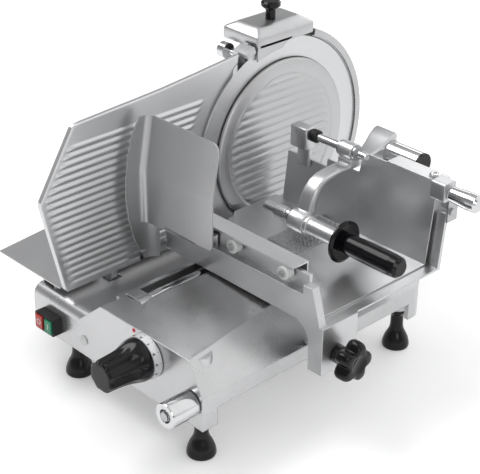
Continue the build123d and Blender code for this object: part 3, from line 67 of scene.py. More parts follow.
class Tree:
    """A material's node tree, with short ways to add the nodes that the finishes share."""

    def __init__(self, name):
        self.material = bpy.data.materials.new(name)
        self.material.use_nodes = True
        self.tree = self.material.node_tree
        self.nodes = self.tree.nodes
        self.shader = next(n for n in self.nodes if n.type == "BSDF_PRINCIPLED")
        self.coords = self.nodes.new("ShaderNodeTexCoord").outputs["Object"]

    def link(self, out, into):
        self.tree.links.new(out, into)

    def stretched(self, scale):
        mapping = self.nodes.new("ShaderNodeMapping")
        mapping.inputs["Scale"].default_value = scale
        self.link(self.coords, mapping.inputs["Vector"])
        return mapping.outputs["Vector"]

    def noise(self, scale, detail=3.0, rough=0.55, vector=None):
        node = self.nodes.new("ShaderNodeTexNoise")
        node.inputs["Scale"].default_value = scale
        node.inputs["Detail"].default_value = detail
        node.inputs["Roughness"].default_value = rough
        self.link(vector or self.coords, node.inputs["Vector"])
        return node.outputs["Fac"]

    def ramp(self, fac, low, high, start=0.3, end=0.7):
        node = self.nodes.new("ShaderNodeMapRange")
        node.inputs["From Min"].default_value = start
        node.inputs["From Max"].default_value = end
        node.inputs["To Min"].default_value = low
        node.inputs["To Max"].default_value = high
        self.link(fac, node.inputs["Value"])
        return node.outputs["Result"]

    def tint(self, fac, low, high, start=0.3, end=0.7):
        node = self.nodes.new("ShaderNodeMix")
        node.data_type = "RGBA"
        node.inputs["A"].default_value = (*low, 1)
        node.inputs["B"].default_value = (*high, 1)
        self.link(self.ramp(fac, 0, 1, start, end), node.inputs["Factor"])
        return node.outputs["Result"]

    def add(self, first, second):
        node = self.nodes.new("ShaderNodeMath")
        node.operation = "ADD"
        self.link(first, node.inputs[0])
        self.link(second, node.inputs[1])
        return node.outputs["Value"]

    def times(self, first, amount):
        node = self.nodes.new("ShaderNodeMath")
        node.operation = "MULTIPLY"
        self.link(first, node.inputs[0])
        node.inputs[1].default_value = amount
        return node.outputs["Value"]

    def bump(self, height, strength, distance, edge=0.0):
        node = self.nodes.new("ShaderNodeBump")
        node.inputs["Strength"].default_value = strength
        node.inputs["Distance"].default_value = distance
        self.link(height, node.inputs["Height"])
        if edge:
            bevel = self.nodes.new("ShaderNodeBevel")
            bevel.samples = bevel_samples
            bevel.inputs["Radius"].default_value = edge
            self.link(bevel.outputs["Normal"], node.inputs["Normal"])
        self.link(node.outputs["Normal"], self.shader.inputs["Normal"])


def cast_metal(name, dark, light, rough, edge):
    t = Tree(name)
    t.shader.inputs["Metallic"].default_value = metal_share
    cloud = t.noise(cast_cloud, 4.0)
    fine = t.noise(cast_grain, 2.0)
    t.link(t.tint(cloud, dark, light), t.shader.inputs["Base Color"])
    wide = t.ramp(cloud, rough - cast_wander, rough + cast_wander)
    close = t.ramp(fine, -cast_wander, cast_wander)
    t.link(t.add(wide, close), t.shader.inputs["Roughness"])
    t.bump(fine, cast_bump, cast_bump_depth, edge)
    return t.material


def brushed_metal(name, dark, light, rough, stretch, edge=0.4 * mm, strength=0.03):
    t = Tree(name)
    t.shader.inputs["Metallic"].default_value = metal_share
    streak = t.noise(brushed_grain, 2.0, 0.5, t.stretched(stretch))
    cloud = t.noise(brushed_cloud, 3.0)
    mixed = t.add(t.times(streak, brushed_shares[0]), t.times(cloud, brushed_shares[1]))
    t.link(t.tint(mixed, dark, light), t.shader.inputs["Base Color"])
    t.link(t.ramp(streak, rough - brushed_wander, rough + brushed_wander), t.shader.inputs["Roughness"])
    t.bump(streak, strength, brushed_bump_depth, edge)
    return t.material


def plain_finish(name, dark, light, rough, metallic=0.0, grain=500.0, depth=0.05, edge=0.5 * mm, coat=0.0,
                 specular=0.5):
    t = Tree(name)
    t.shader.inputs["Specular IOR Level"].default_value = specular
    t.shader.inputs["Metallic"].default_value = metallic
    t.shader.inputs["Coat Weight"].default_value = coat
    cloud = t.noise(plain_cloud, 4.0)
    fine = t.noise(grain, 3.0)
    t.link(t.tint(cloud, dark, light), t.shader.inputs["Base Color"])
    t.link(t.ramp(fine, rough - plain_wander, rough + plain_wander), t.shader.inputs["Roughness"])
    t.bump(fine, plain_bump, depth * mm, edge)
    return t.material


def grey(low, high):
    return tuple(low * share for share in cool_shares), tuple(high * share for share in cool_shares)


along_x = (0.02, 1.0, 1.0)
along_y = (1.0, 0.02, 1.0)
along_z = (1.0, 1.0, 0.02)
glossy_black = ((0.002, 0.002, 0.003), (0.004, 0.004, 0.005))
matt_black = ((0.008, 0.008, 0.009), (0.014, 0.014, 0.015))
foot_black = ((0.003, 0.003, 0.003), (0.006, 0.006, 0.006))
belt_black = ((0.010, 0.010, 0.010), (0.018, 0.018, 0.018))
milky = ((0.60, 0.61, 0.60), (0.68, 0.69, 0.68))
rocker_red = ((0.42, 0.035, 0.025), (0.50, 0.05, 0.035))
rocker_green = ((0.012, 0.20, 0.10), (0.018, 0.25, 0.13))
enamel_grey = ((0.10, 0.105, 0.11), (0.14, 0.145, 0.15))
stone_brown = ((0.16, 0.12, 0.10), (0.30, 0.24, 0.20))
finishes = {
    "cast": cast_metal("satin_cast", *grey(0.53, 0.59), 0.30, 2.2 * mm),
    "frame": cast_metal("satin_frame", *grey(0.57, 0.63), 0.33, 1.4 * mm),
    "head": cast_metal("satin_head", *grey(0.49, 0.56), 0.30, 1.6 * mm),
    "gauge": brushed_metal("brushed_gauge", *grey(0.62, 0.68), 0.34, along_y, 0.0),
    "cover": brushed_metal("brushed_cover", *grey(0.50, 0.56), 0.34, along_y, 0.0, 0.006),
    "sheet": brushed_metal("polished_sheet", *grey(0.62, 0.68), 0.32, along_x, 0.3 * mm, 0.02),
    "guard": brushed_metal("brushed_guard", *grey(0.42, 0.46), 0.32, along_z, 0.0, 0.01),
    "tray": brushed_metal("satin_tray", *grey(0.58, 0.62), 0.34, along_y, 0.3 * mm, 0.01),
    "blade": brushed_metal("ground_blade", *grey(0.64, 0.70), 0.36, along_y, 0.0, 0.02),
    "steel": brushed_metal("ground_steel", *grey(0.44, 0.52), 0.28, along_x),
    "chrome": plain_finish("bright_chrome", *grey(0.62, 0.68), 0.10, 1.0, 700.0, 0.01),
    "gloss": plain_finish("gloss_black", *glossy_black, 0.14, 0.0, 900.0, 0.01, specular=0.28),
    "knob": plain_finish("knob_black", *glossy_black, 0.16, 0.0, 900.0, 0.01, 0.0, specular=0.28),
    "matte": plain_finish("matt_black", *matt_black, 0.40, 0.0, 1400.0, 0.05, specular=0.3),
    "rubber": plain_finish("foot_rubber", *foot_black, 0.20, 0.0, 800.0, 0.02, 0.0, specular=0.3),
    "white": plain_finish("white_plastic", *milky, 0.38, 0.0, 700.0, 0.03),
    "red": plain_finish("red_rocker", *rocker_red, 0.28, 0.0, 700.0, 0.02),
    "green": plain_finish("green_rocker", *rocker_green, 0.28, 0.0, 700.0, 0.02),
    "satin": plain_finish("satin_dial", *grey(0.66, 0.72), 0.42, 0.35, 900.0, 0.02),
    "bronze": plain_finish("steel_bush", *grey(0.42, 0.50), 0.30, 1.0, 900.0, 0.03),
    "motor": plain_finish("grey_enamel", *enamel_grey, 0.40, 0.0, 600.0, 0.08, coat=0.2),
    "stone": plain_finish("abrasive", *stone_brown, 0.85, 0.0, 1500.0, 0.3),
    "belt": plain_finish("belt_rubber", *belt_black, 0.6, 0.0, 900.0, 0.1),
}
nodes_of = {
    "cast": ("base_casting", "rod_brackets", "gauge_arm", "drive_housing", "rod_block", "lock_block"),
    "frame": ("carriage_frame", "press_arm"),
    "head": ("blade_head", "sharpener_housing"),
    "gauge": ("gauge_plate",),
    "cover": ("blade_cover",),
    "sheet": ("slice_deflector", "product_table"),
    "guard": ("hand_guard",),
    "tray": ("receiving_tray",),
    "blade": ("blade",),
    "steel": ("bottom_plate", "dial_spindle", "release_shaft", "gauge_guide", "blade_shaft",
              "head_bolts", "bearings", "blade_pulley", "motor_pulley", "clamp_stud", "roller_pins",
              "spike_plate", "lock_bracket", "lock_screw"),
    "chrome": ("slide_rod", "release_knob", "side_wheel", "press_rod", "arm_tube", "pusher_shaft",
               "lock_knob"),
    "gloss": ("dial_knob", "cover_knob", "sharpener_knob", "star_knob", "arm_tube_cap", "pusher_handle"),
    "matte": ("switch_housing", "stone_carrier", "rod_collar"),
    "rubber": ("feet",),
    "white": ("cap_plug", "roller_left", "roller_right"),
    "red": ("stop_button",),
    "green": ("start_button",),
    "satin": ("dial_ring",),
    "bronze": ("carriage_bushings", "arm_sleeve"),
    "motor": ("motor",),
    "stone": ("grinding_stone", "deburring_stone"),
    "belt": ("drive_belt",),
}
finish_of = {node: finish for finish, dressed in nodes_of.items() for node in dressed}
for node, finish in finish_of.items():
    nodes[node].data.materials.clear()
    nodes[node].data.materials.append(finishes[finish])


# Pieces: plain numbers are millimetres, and numbers times mm are metres

axis_z = 233.0
weld = 0.005 * mm
block_segments = 3
full_turn = 2 * math.pi
usual_sharp = 40
knob_sharp = 30
cast_sharp = 35
sheet_sharp = 50


def piece(name, mesh, body, material):
    made = bpy.data.objects.new(name, mesh)
    bpy.context.scene.collection.objects.link(made)
    made.data.materials.append(material)
    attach(made, body)
    return made


def mesh_of(name, build):
    form = bmesh.new()
    build(form)
    mesh = bpy.data.meshes.new(name)
    form.to_mesh(mesh)
    form.free()
    return mesh


def in_metres(profile):
    return [(radius * mm, height * mm) for radius, height in profile]


def letters(text, size, depth, bold=0.0):
    """The solid of a short text, centred on its own middle in its own XY plane, as vertices and faces."""
    curve = bpy.data.curves.new("letters", "FONT")
    curve.body = text
    curve.size = size
    curve.extrude = depth / 2
    curve.offset = bold
    curve.align_x = "CENTER"
    curve.align_y = "CENTER"
    holder = bpy.data.objects.new("letters", curve)
    bpy.context.scene.collection.objects.link(holder)
    bpy.context.view_layer.update()
    mesh = bpy.data.meshes.new_from_object(holder.evaluated_get(bpy.context.evaluated_depsgraph_get()))
    bpy.data.objects.remove(holder)
    return mesh


def disc(form, centre, normal, radius, depth, sides=32):
    turn = Vector(normal).to_track_quat("Z", "Y").to_matrix().to_4x4()
    bmesh.ops.create_cone(form, cap_ends=True, segments=sides, radius1=radius, radius2=radius, depth=depth,
                          matrix=Matrix.Translation(centre) @ turn)


def arc_place(centre, radius, share):
    """The two coordinates of a point on a circle, at a share of a full turn."""
    return centre[0] + radius * math.cos(full_turn * share), centre[1] + radius * math.sin(full_turn * share)


def sheet_rows(form, rows):
    """A skin over rows of points, all rows of one length."""
    made = [[form.verts.new(place) for place in row] for row in rows]
    for low, high in zip(made, made[1:]):
        for i in range(len(low) - 1):
            form.faces.new((low[i], low[i + 1], high[i + 1], high[i]))
    return made


def join_rings(form, rings):
    """A skin round closed rings of vertices, all rings of one length."""
    for low, high in zip(rings, rings[1:]):
        for i in range(len(low)):
            form.faces.new((low[i - 1], low[i], high[i], high[i - 1]))


def plate_of(form, rows, back_x):
    """A closed plate: its front is a skin over the rows, and its back is flat at back_x."""
    made = sheet_rows(form, rows)
    rim = [row[0] for row in made] + made[-1][1:-1] + [row[-1] for row in reversed(made)] + made[0][-2:0:-1]
    rear = [form.verts.new((back_x, v.co.y, v.co.z)) for v in rim]
    for i in range(len(rim)):
        form.faces.new((rim[i - 1], rim[i], rear[i], rear[i - 1]))
    form.faces.new(rear)


def turned(form, profile, place, axis, sides, shape=None):
    """A closed turned form from (radius, height) pairs along the axis. shape alters a radius."""
    turn = Vector(axis).to_track_quat("Z", "Y").to_matrix().to_4x4()
    move = Matrix.Translation(place) @ turn
    rings = []
    for radius, height in profile:
        ring = []
        for i in range(sides):
            angle = full_turn * i / sides
            r = shape(radius, height, angle) if shape else radius
            ring.append(form.verts.new(move @ Vector((r * math.cos(angle), r * math.sin(angle), height))))
        rings.append(ring)
    join_rings(form, rings)
    form.faces.new(list(reversed(rings[0])))
    form.faces.new(rings[-1])


def block(form, low, high, round_by):
    """A block with rounded edges."""
    made = bmesh.ops.create_cube(form, size=1)["verts"]
    size = [high[i] - low[i] for i in range(3)]
    middle = [(high[i] + low[i]) / 2 for i in range(3)]
    bmesh.ops.transform(form, verts=made, matrix=Matrix.Translation(middle) @ Matrix.Diagonal((*size, 1)))
    edges = {edge for v in made for edge in v.link_edges}
    bmesh.ops.bevel(form, geom=list(edges), offset=round_by, segments=block_segments, profile=0.5,
                    affect="EDGES")


def face_out(form):
    bmesh.ops.recalc_face_normals(form, faces=form.faces)


def close_up(form):
    """Welds the points that coincide and turns all faces outwards."""
    bmesh.ops.remove_doubles(form, verts=form.verts, dist=weld)
    face_out(form)


def smooth(mesh, sharp=usual_sharp):
    """Smooth shading, with edges kept where the faces meet at more than the angle in degrees."""
    for face in mesh.polygons:
        face.use_smooth = True
    mesh.set_sharp_from_angle(angle=math.radians(sharp))
    return mesh


def ease(value):
    value = min(1.0, max(0.0, value))
    return value * value * (3 - 2 * value)


def between(points, z):
    """The y of an outline at a height: points are (y, z) with rising z."""
    for (y0, z0), (y1, z1) in zip(points, points[1:]):
        if z0 <= z <= z1:
            return y0 + (y1 - y0) * (z - z0) / (z1 - z0)
    return points[-1][0] if z > points[-1][1] else points[0][0]


def from_segment(y, z, start, end):
    run = (end[0] - start[0], end[1] - start[1])
    share = ((y - start[0]) * run[0] + (z - start[1]) * run[1]) / (run[0] ** 2 + run[1] ** 2)
    share = min(1.0, max(0.0, share))
    return math.hypot(y - start[0] - share * run[0], z - start[1] - share * run[1])


# the gauge plate: rounded ribs across a plate with a soft edge
gauge_foot = 134.0
gauge_left = [(-372.0, gauge_foot), (-376.0, 138.0), (-406.0, 265.0), (-405.6, 271.0), (-353.6, 356.0),
              (-349.0, 358.0), (-215.0, 365.0), (-147.0, 371.0), (-98.0, 376.0), (-76.0, 378.0)]
gauge_bottom = ((-372.0, gauge_foot), (-105.4, gauge_foot))
gauge_tip = [(-78.2, 366.0), (-76.0, 378.0)]
gauge_last_rows = (376.6, 377.7)
gauge_face = -4.0
gauge_back = -10.0
gauge_arc = 144.6
gauge_arc_top = 154.3
gauge_widens_at = 346.0
gauge_widens_over = 18.0
gauge_round = 2.2
rib_low = 138.5
rib_pitch = 9.775
rib_count = 20
rib_height = 2.1
rib_inset = 8.0
rib_arc = 171.0
rib_fade = 7.0
rib_power = 0.8
row_step = 0.9
edge_steps = (0.0, 0.35, 0.9, 1.5, 2.2)
middle_steps = 70


def gauge_radius(z):
    return gauge_arc + (gauge_arc_top - gauge_arc) * ease((z - gauge_widens_at) / gauge_widens_over)


def gauge_right(z):
    if z >= gauge_tip[0][1]:
        return between(gauge_tip, z)
    return -math.sqrt(gauge_radius(z) ** 2 - (z - axis_z) ** 2)


def gauge_front(y, z):
    sides = list(zip(gauge_left, gauge_left[1:])) + [gauge_bottom, tuple(gauge_tip)]
    near = min(from_segment(y, z, start, end) for start, end in sides)
    near = min(near, abs(math.hypot(y, z - axis_z) - gauge_radius(z)))
    fall = gauge_round - min(near, gauge_round)
    x = gauge_face - gauge_round + math.sqrt(max(0.0, gauge_round ** 2 - fall ** 2))
    if rib_low < z < rib_low + rib_pitch * rib_count:
        stop = -math.sqrt(rib_arc ** 2 - (z - axis_z) ** 2)
        start = between(gauge_left, z) + rib_inset
        fade = ease((y - start) / rib_fade) * ease((stop - y) / rib_fade)
        wave = 0.5 - 0.5 * math.cos(full_turn * (z - rib_low) / rib_pitch)
        x += rib_height * fade * wave ** rib_power
    return x


def row_places(left, right):
    width = right - left
    squeeze = min(1.0, width / (4 * edge_steps[-1]))
    edge = [step * squeeze for step in edge_steps]
    span = width - 2 * edge[-1]
    inner = [left + edge[-1] + span * i / middle_steps for i in range(1, middle_steps)]
    return [left + step for step in edge] + inner + [right - step for step in reversed(edge)]


def ribbed_gauge(form):
    heights = [gauge_foot + step for step in edge_steps]
    while heights[-1] < gauge_last_rows[0]:
        heights.append(heights[-1] + row_step)
    heights.append(gauge_last_rows[1])
    rows = []
    for z in heights:
        places = row_places(between(gauge_left, z), gauge_right(z))
        rows.append([(gauge_front(y, z) * mm, y * mm, z * mm) for y in places])
    plate_of(form, rows, gauge_back * mm)


gauge_mesh = smooth(mesh_of("ribbed_gauge", ribbed_gauge))
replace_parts(piece("ribbed_gauge", gauge_mesh, "gauge", finishes["gauge"]), "gauge_plate")

# the blade's cover: a dished disc with rounded ribs inside a plain rim, its boss and its tie rod
cover_field = 98.0
cover_face = 3.6
cover_pitch = 11.62
cover_rib_height = 2.7
cover_fade = 9.0
cover_end_inset = 2.0
cover_end_fade = 3.0
cover_sides = 240
cover_rim = [(98.6, 3.6), (99.6, 4.2), (101.0, 4.85), (102.6, 5.0), (109.0, 5.0), (116.0, 4.9),
             (118.6, 4.2), (119.9, 2.9), (120.2, 1.4), (119.4, -0.2), (115.8, -1.0)]
cover_back = [(11.5, -1.0), (10.5, -1.6), (10.5, -5.4), (5.0, -5.4), (5.0, -87.4), (4.4, -88.0)]
field_steps = 52


def cover_wave(radius, angle):
    z = radius * math.sin(angle)
    wave = 0.5 + 0.5 * math.cos(full_turn * z / cover_pitch)
    reach = math.sqrt(max(0.0, cover_field ** 2 - z ** 2))
    fade = ease((reach - abs(radius * math.cos(angle))) / cover_fade)
    fade *= ease((cover_field - cover_end_inset - abs(z)) / cover_end_fade)
    return cover_face + cover_rib_height * fade * wave ** rib_power


def ribbed_cover(form):
    rings = []
    for step in range(1, field_steps + 1):
        radius = cover_field * step / field_steps
        rings.append([(cover_wave(radius, full_turn * i / cover_sides), radius) for i in range(cover_sides)])
    for radius, x in cover_rim + cover_back:
        rings.append([(x, radius)] * cover_sides)
    made = []
    for ring in rings:
        row = []
        for i, (x, radius) in enumerate(ring):
            y, z = arc_place((0.0, axis_z), radius, i / cover_sides)
            row.append(form.verts.new((x * mm, y * mm, z * mm)))
        made.append(row)
    join_rings(form, made)
    top = form.verts.new(((cover_face + cover_rib_height) * mm, 0, axis_z * mm))
    for i in range(cover_sides):
        form.faces.new((made[0][i], made[0][i - 1], top))
    form.faces.new(list(reversed(made[-1])))
    face_out(form)


cover_mesh = smooth(mesh_of("ribbed_cover", ribbed_cover))
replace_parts(piece("ribbed_cover", cover_mesh, "base", finishes["cover"]), "blade_cover")

# the dial's knob: wide flutes that run out before a flared skirt
dial_x, dial_z = 159 * mm, 121 * mm
knob_front = -451 * mm
knob_sides = 180
flute_count = 8
flute_depth = 3.6
flute_power = 0.9
flute_start = -1.0
flute_start_over = 3.0
flute_end = 34.0
flute_end_over = 16.0
plain_core = 17.0
least_r = 0.3
knob_profile = [(0.0, 0.0), (14.0, 0.0), (17.6, 0.0), (18.4, 0.2), (20.6, 2.4), (21.0, 3.2),
                (21.2, 6.0), (21.4, 12.0), (21.8, 20.0), (22.4, 28.0), (23.4, 35.0), (24.6, 41.0),
                (25.8, 46.0), (26.8, 50.0), (27.4, 53.0), (27.6, 56.0), (27.5, 58.6), (26.9, 59.6),
                (26.0, 60.0), (0.0, 60.0)]


def flute(radius, height, angle):
    if radius < plain_core * mm:
        return radius
    depth = flute_depth * mm * (1 - ease((height / mm - flute_end) / flute_end_over))
    depth *= ease((height / mm - flute_start) / flute_start_over)
    return radius - depth * (0.5 + 0.5 * math.cos(flute_count * angle)) ** flute_power


def fluted_knob(form):
    profile = in_metres([(max(radius, least_r), height) for radius, height in knob_profile])
    turned(form, profile, (dial_x, knob_front, dial_z), (0, 1, 0), knob_sides, flute)
    face_out(form)


knob_mesh = smooth(mesh_of("fluted_knob", fluted_knob), knob_sharp)
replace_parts(piece("fluted_knob", knob_mesh, "dial", finishes["knob"]), "dial_knob")

# the release knob: a bright turned cylinder with rings and a socket in its face
lock_x, lock_z = 238 * mm, 93 * mm
lock_front = -421 * mm
lock_sides = 96
lock_profile = [(0.2, 5.0), (3.0, 5.0), (3.2, 1.6), (6.4, 1.4), (6.7, 2.6), (8.6, 2.6), (8.9, 0.6),
                (9.6, 0.1), (14.6, 0.0), (15.8, 0.5), (16.4, 1.6), (16.5, 3.0), (16.5, 22.0),
                (16.5, 39.4), (16.1, 40.6), (15.4, 41.0), (0.2, 41.0)]


def turned_lock(form):
    turned(form, in_metres(lock_profile), (lock_x, lock_front, lock_z), (0, 1, 0), lock_sides)
    face_out(form)


lock_mesh = smooth(mesh_of("turned_release", turned_lock), cast_sharp)
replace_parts(piece("turned_release", lock_mesh, "release", finishes["chrome"]), "release_knob")

# a lip inside the ring guard leaves a thin line round the blade
lip_inner, lip_outer = 150.8, 153.0
lip_x = (-6.0, -0.6)
lip_bevel = 0.5
lip_from, lip_to = -136.0, 67.5
lip_steps = 120


def guard_lip(form):
    crest = lip_x[1] + lip_bevel
    corners = ((lip_x[0], lip_inner), (lip_x[1], lip_inner), (crest, lip_inner + lip_bevel),
               (crest, lip_outer), (lip_x[0], lip_outer), (lip_x[0], lip_inner))
    rows = []
    for i in range(lip_steps + 1):
        share = (lip_from + (lip_to - lip_from) * i / lip_steps) / 360
        row = []
        for x, r in corners:
            y, z = arc_place((0.0, axis_z), r, share)
            row.append((x * mm, y * mm, z * mm))
        rows.append(row)
    made = sheet_rows(form, rows)
    bmesh.ops.remove_doubles(form, verts=form.verts, dist=weld)
    form.faces.new([v for v in made[0][:-1] if v.is_valid])
    form.faces.new([v for v in made[-1][:-1] if v.is_valid])
    face_out(form)


piece("guard_lip", smooth(mesh_of("guard_lip", guard_lip)), "base", finishes["head"])

# the press arm: a cast bow with rounded edges, a boss on its rod, a hub and a stepped tube round the pusher
arm_x = (134.0, 156.0)
# each station of the bow: its upper edge and its lower edge as (y, z), and its left side
arm_path = [((-104.5, 203.0), (-89.5, 203.0), 134.0), ((-103.0, 212.0), (-88.6, 212.0), 134.0),
            ((-100.0, 222.0), (-87.0, 222.0), 134.0), ((-96.0, 233.0), (-83.5, 231.5), 134.0),
            ((-90.0, 242.5), (-78.5, 239.5), 134.0), ((-82.0, 249.5), (-71.5, 244.5), 134.0),
            ((-71.0, 254.0), (-63.0, 247.4), 134.0), ((-58.0, 256.0), (-52.0, 248.8), 134.0),
            ((-40.0, 257.0), (-38.0, 249.4), 134.0), ((-16.0, 257.6), (-16.0, 249.4), 134.0),
            ((6.0, 259.0), (8.0, 248.4), 133.0), ((22.0, 261.5), (24.0, 246.0), 130.0),
            ((36.0, 265.5), (36.0, 242.5), 125.5), ((48.0, 271.0), (47.0, 240.0), 121.5),
            ((58.0, 275.5), (56.0, 240.0), 119.5), ((64.0, 276.5), (64.0, 244.0), 119.0)]
arm_corner = 3.2
arm_corner_steps = 4
boss_place = (-17.5, 273.0)
hub_place = (-105.0, 199.0)
end_place = (54.0, 252.0)
boss_rings = [(8.05, 134.0), (11.0, 134.0), (11.5, 134.6), (11.5, 155.4), (11.0, 156.0), (8.05, 156.0)]
hub_rings = [(6.2, 132.0), (13.6, 132.0), (15.0, 133.2), (15.0, 157.0), (14.4, 158.0), (12.9, 158.4),
             (13.0, 163.0), (12.4, 163.6), (11.6, 163.9), (11.5, 168.0), (11.2, 168.3), (11.5, 168.6),
             (11.5, 216.4), (11.0, 217.0), (6.2, 217.0)]
end_rings = [(6.0, 134.0), (16.4, 134.0), (17.6, 135.0), (18.0, 136.6), (18.0, 154.6), (17.4, 155.8),
             (16.3, 156.0), (6.0, 156.0)]
# the web between the bow and the boss
web_low = (-27.0, 254.0)
web_high = (-8.0, 264.0)
web_round = 0.6


def pipe(form, rings, place, sides=64):
    """A turned tube along X with a bore, from (radius, x) pairs."""
    made = []
    for radius, x in rings + rings[:1]:
        row = []
        for i in range(sides + 1):
            y, z = arc_place(place, radius, i / sides)
            row.append((x * mm, y * mm, z * mm))
        made.append(row)
    before = set(form.verts)
    sheet_rows(form, made)
    bmesh.ops.remove_doubles(form, verts=[v for v in form.verts if v not in before], dist=weld)


def arm_ring(form, upper, lower, left):
    foot = Vector((0, *lower))
    rise = Vector((0, *upper)) - foot
    height = rise.length
    rise.normalize()
    right = arm_x[1] - arm_corner
    left += arm_corner
    top = height - arm_corner
    corners = ((right, top), (left, top), (left, arm_corner), (right, arm_corner))
    ring = []
    for quarter, corner in enumerate(corners):
        for i in range(arm_corner_steps + 1):
            x, h = arc_place(corner, arm_corner, (quarter + i / arm_corner_steps) / 4)
            ring.append(form.verts.new((Vector((x, 0, 0)) + foot + rise * h) * mm))
    return ring


def cast_arm(form):
    rings = [arm_ring(form, upper, lower, left) for upper, lower, left in arm_path]
    join_rings(form, rings)
    form.faces.new(rings[0])
    form.faces.new(rings[-1])
    pipe(form, boss_rings, boss_place)
    pipe(form, hub_rings, hub_place)
    pipe(form, end_rings, end_place)
    low = [v * mm for v in (arm_x[0], *web_low)]
    high = [v * mm for v in (arm_x[1], *web_high)]
    block(form, low, high, web_round * mm)
    face_out(form)


arm_mesh = smooth(mesh_of("cast_arm", cast_arm), cast_sharp)
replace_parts(piece("cast_arm", arm_mesh, "press_arm", finishes["frame"]), "press_arm")

# the rod's block on its stem
block_high = ((48.0, -30.0, 252.0), (78.0, -12.5, 283.0))
block_stem = ((52.0, -19.5, 222.0), (74.0, -13.0, 253.0))
block_round = 2.2


def rod_support(form):
    for low, high in (block_high, block_stem):
        block(form, [v * mm for v in low], [v * mm for v in high], block_round * mm)


support_mesh = smooth(mesh_of("rod_support", rod_support), cast_sharp)
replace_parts(piece("rod_support", support_mesh, "table", finishes["cast"]), "rod_block")

# the four feet: bells with a narrow neck, a rolled rim and a stud
foot_places = [(226.0, -353.0), (-14.0, -353.0), (226.0, 6.0), (-48.0, 4.0)]
foot_sides = 64
foot_profile = [(12.0, 0.0), (16.8, 0.0), (18.0, 0.7), (18.6, 2.2), (18.6, 4.6), (18.2, 7.6),
                (17.4, 11.0), (16.2, 14.5), (14.6, 18.2), (12.8, 21.6), (11.2, 24.6), (10.0, 27.6),
                (9.2, 31.0), (8.8, 36.0), (8.8, 48.0), (9.2, 51.0), (10.8, 53.0), (11.8, 54.4),
                (12.2, 56.4), (12.2, 59.4), (11.6, 60.0)]
stud_sides = 24
stud_profile = [(4.0, 59.0), (4.0, 81.0)]


def foot_bells(form):
    for x, y in foot_places:
        turned(form, in_metres(foot_profile), (x * mm, y * mm, 0), (0, 0, 1), foot_sides)
        turned(form, in_metres(stud_profile), (x * mm, y * mm, 0), (0, 0, 1), stud_sides)
    face_out(form)


feet_mesh = smooth(mesh_of("foot_bells", foot_bells))
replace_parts(piece("foot_bells", feet_mesh, "base", finishes["rubber"]), "feet")

# the hand guard: one sheet with a wing, a soft fold, a leaning upper half and rounded corners
sheet_t = 2.0
wing_plane = 11.0
wing_edge = [(-260.0, 147.5), (-272.7, 177.5), (-281.6, 209.5), (-285.5, 239.5), (-285.0, 267.5),
             (-280.0, 301.5), (-273.0, 326.5), (-264.0, 341.5), (-260.5, 346.0)]
fold_r = 9.0
fold_steps = 8
wing_steps = 8
face_y = -257.0
lean_z = 275.5
lean_step = 12.0
lean_blend = 8.0
face_top = 347.5
face_right = 140.0
face_low = (201.5, 208.5)
corner_r = 13.0
low_corner_r = 5.0
low_turn_r = 36.0
low_turn_share = 1 / 8
low_rows = 20
guard_rows = 60
guard_columns = 44
# the tabs behind the guard, by which it is fixed, as (y, z) corners
tab_x = (50.0, 110.0)
tabs = [((-257.0, 206.0), (-219.0, 208.0)), ((-221.0, 186.0), (-219.0, 208.0)),
        ((-228.0, 186.0), (-219.0, 188.0))]
tab_round = 0.4


def face_at(z):
    blend = ease((z - lean_z + lean_blend / 2) / lean_blend)
    return face_y + lean_step * blend * max(0.0, (z - lean_z) / (face_top - lean_z))


def corner_drop(x, radius):
    """How far a rounded corner falls short of the sheet's edge at x."""
    inside = x - (face_right - radius)
    return radius - math.sqrt(max(0.0, radius ** 2 - inside ** 2)) if inside > 0 else 0.0


def face_rows():
    rows = []
    for j in range(guard_rows + 1):
        row = []
        for i in range(guard_columns + 1):
            u = i / guard_columns
            x = wing_plane + fold_r + (face_right - wing_plane - fold_r) * u
            low = face_low[0] + (face_low[1] - face_low[0]) * u + corner_drop(x, low_corner_r)
            high = face_top - corner_drop(x, corner_r)
            z = low + (high - low) * j / guard_rows
            row.append((x * mm, face_at(z) * mm, z * mm))
        rows.append(row)
    return rows


def wing_rows():
    """The fold and the wing beside the blade."""
    rows = []
    for j in range(guard_rows + 1):
        z = face_low[0] + (face_top - face_low[0]) * j / guard_rows
        edge_y = between(wing_edge, z)
        turn_y = face_at(z)
        row = []
        for k in range(fold_steps + 1):
            y, x = arc_place((turn_y - fold_r, wing_plane + fold_r), fold_r, -k / fold_steps / 4)
            row.append((x * mm, y * mm, z * mm))
        for k in range(1, wing_steps + 1):
            y = turn_y - fold_r + (edge_y - turn_y + fold_r) * k / wing_steps
            row.append((wing_plane * mm, y * mm, z * mm))
        rows.append(row)
    return rows


def lower_rows():
    """Below the face the sheet turns inwards to the beam."""
    rows = []
    turn_y = face_y - fold_r
    for j in range(low_rows + 1):
        z = wing_edge[0][1] + (face_low[0] - wing_edge[0][1]) * j / low_rows
        edge_y = between(wing_edge, z)
        row = []
        for k in range(wing_steps + 1):
            y = edge_y + (turn_y - edge_y) * k / wing_steps
            row.append((wing_plane * mm, y * mm, z * mm))
        for k in range(1, fold_steps + 1):
            angle = full_turn * low_turn_share * k / fold_steps
            x = wing_plane + low_turn_r * (1 - math.cos(angle))
            row.append((x * mm, (turn_y + low_turn_r * math.sin(angle)) * mm, z * mm))
        rows.append(row)
    return rows


def folded_guard(form):
    for rows in (face_rows(), wing_rows(), lower_rows()):
        sheet_rows(form, rows)
    close_up(form)
    bmesh.ops.solidify(form, geom=list(form.faces), thickness=sheet_t * mm)
    for low, high in tabs:
        block(form, [v * mm for v in (tab_x[0], *low)], [v * mm for v in (tab_x[1], *high)], tab_round * mm)


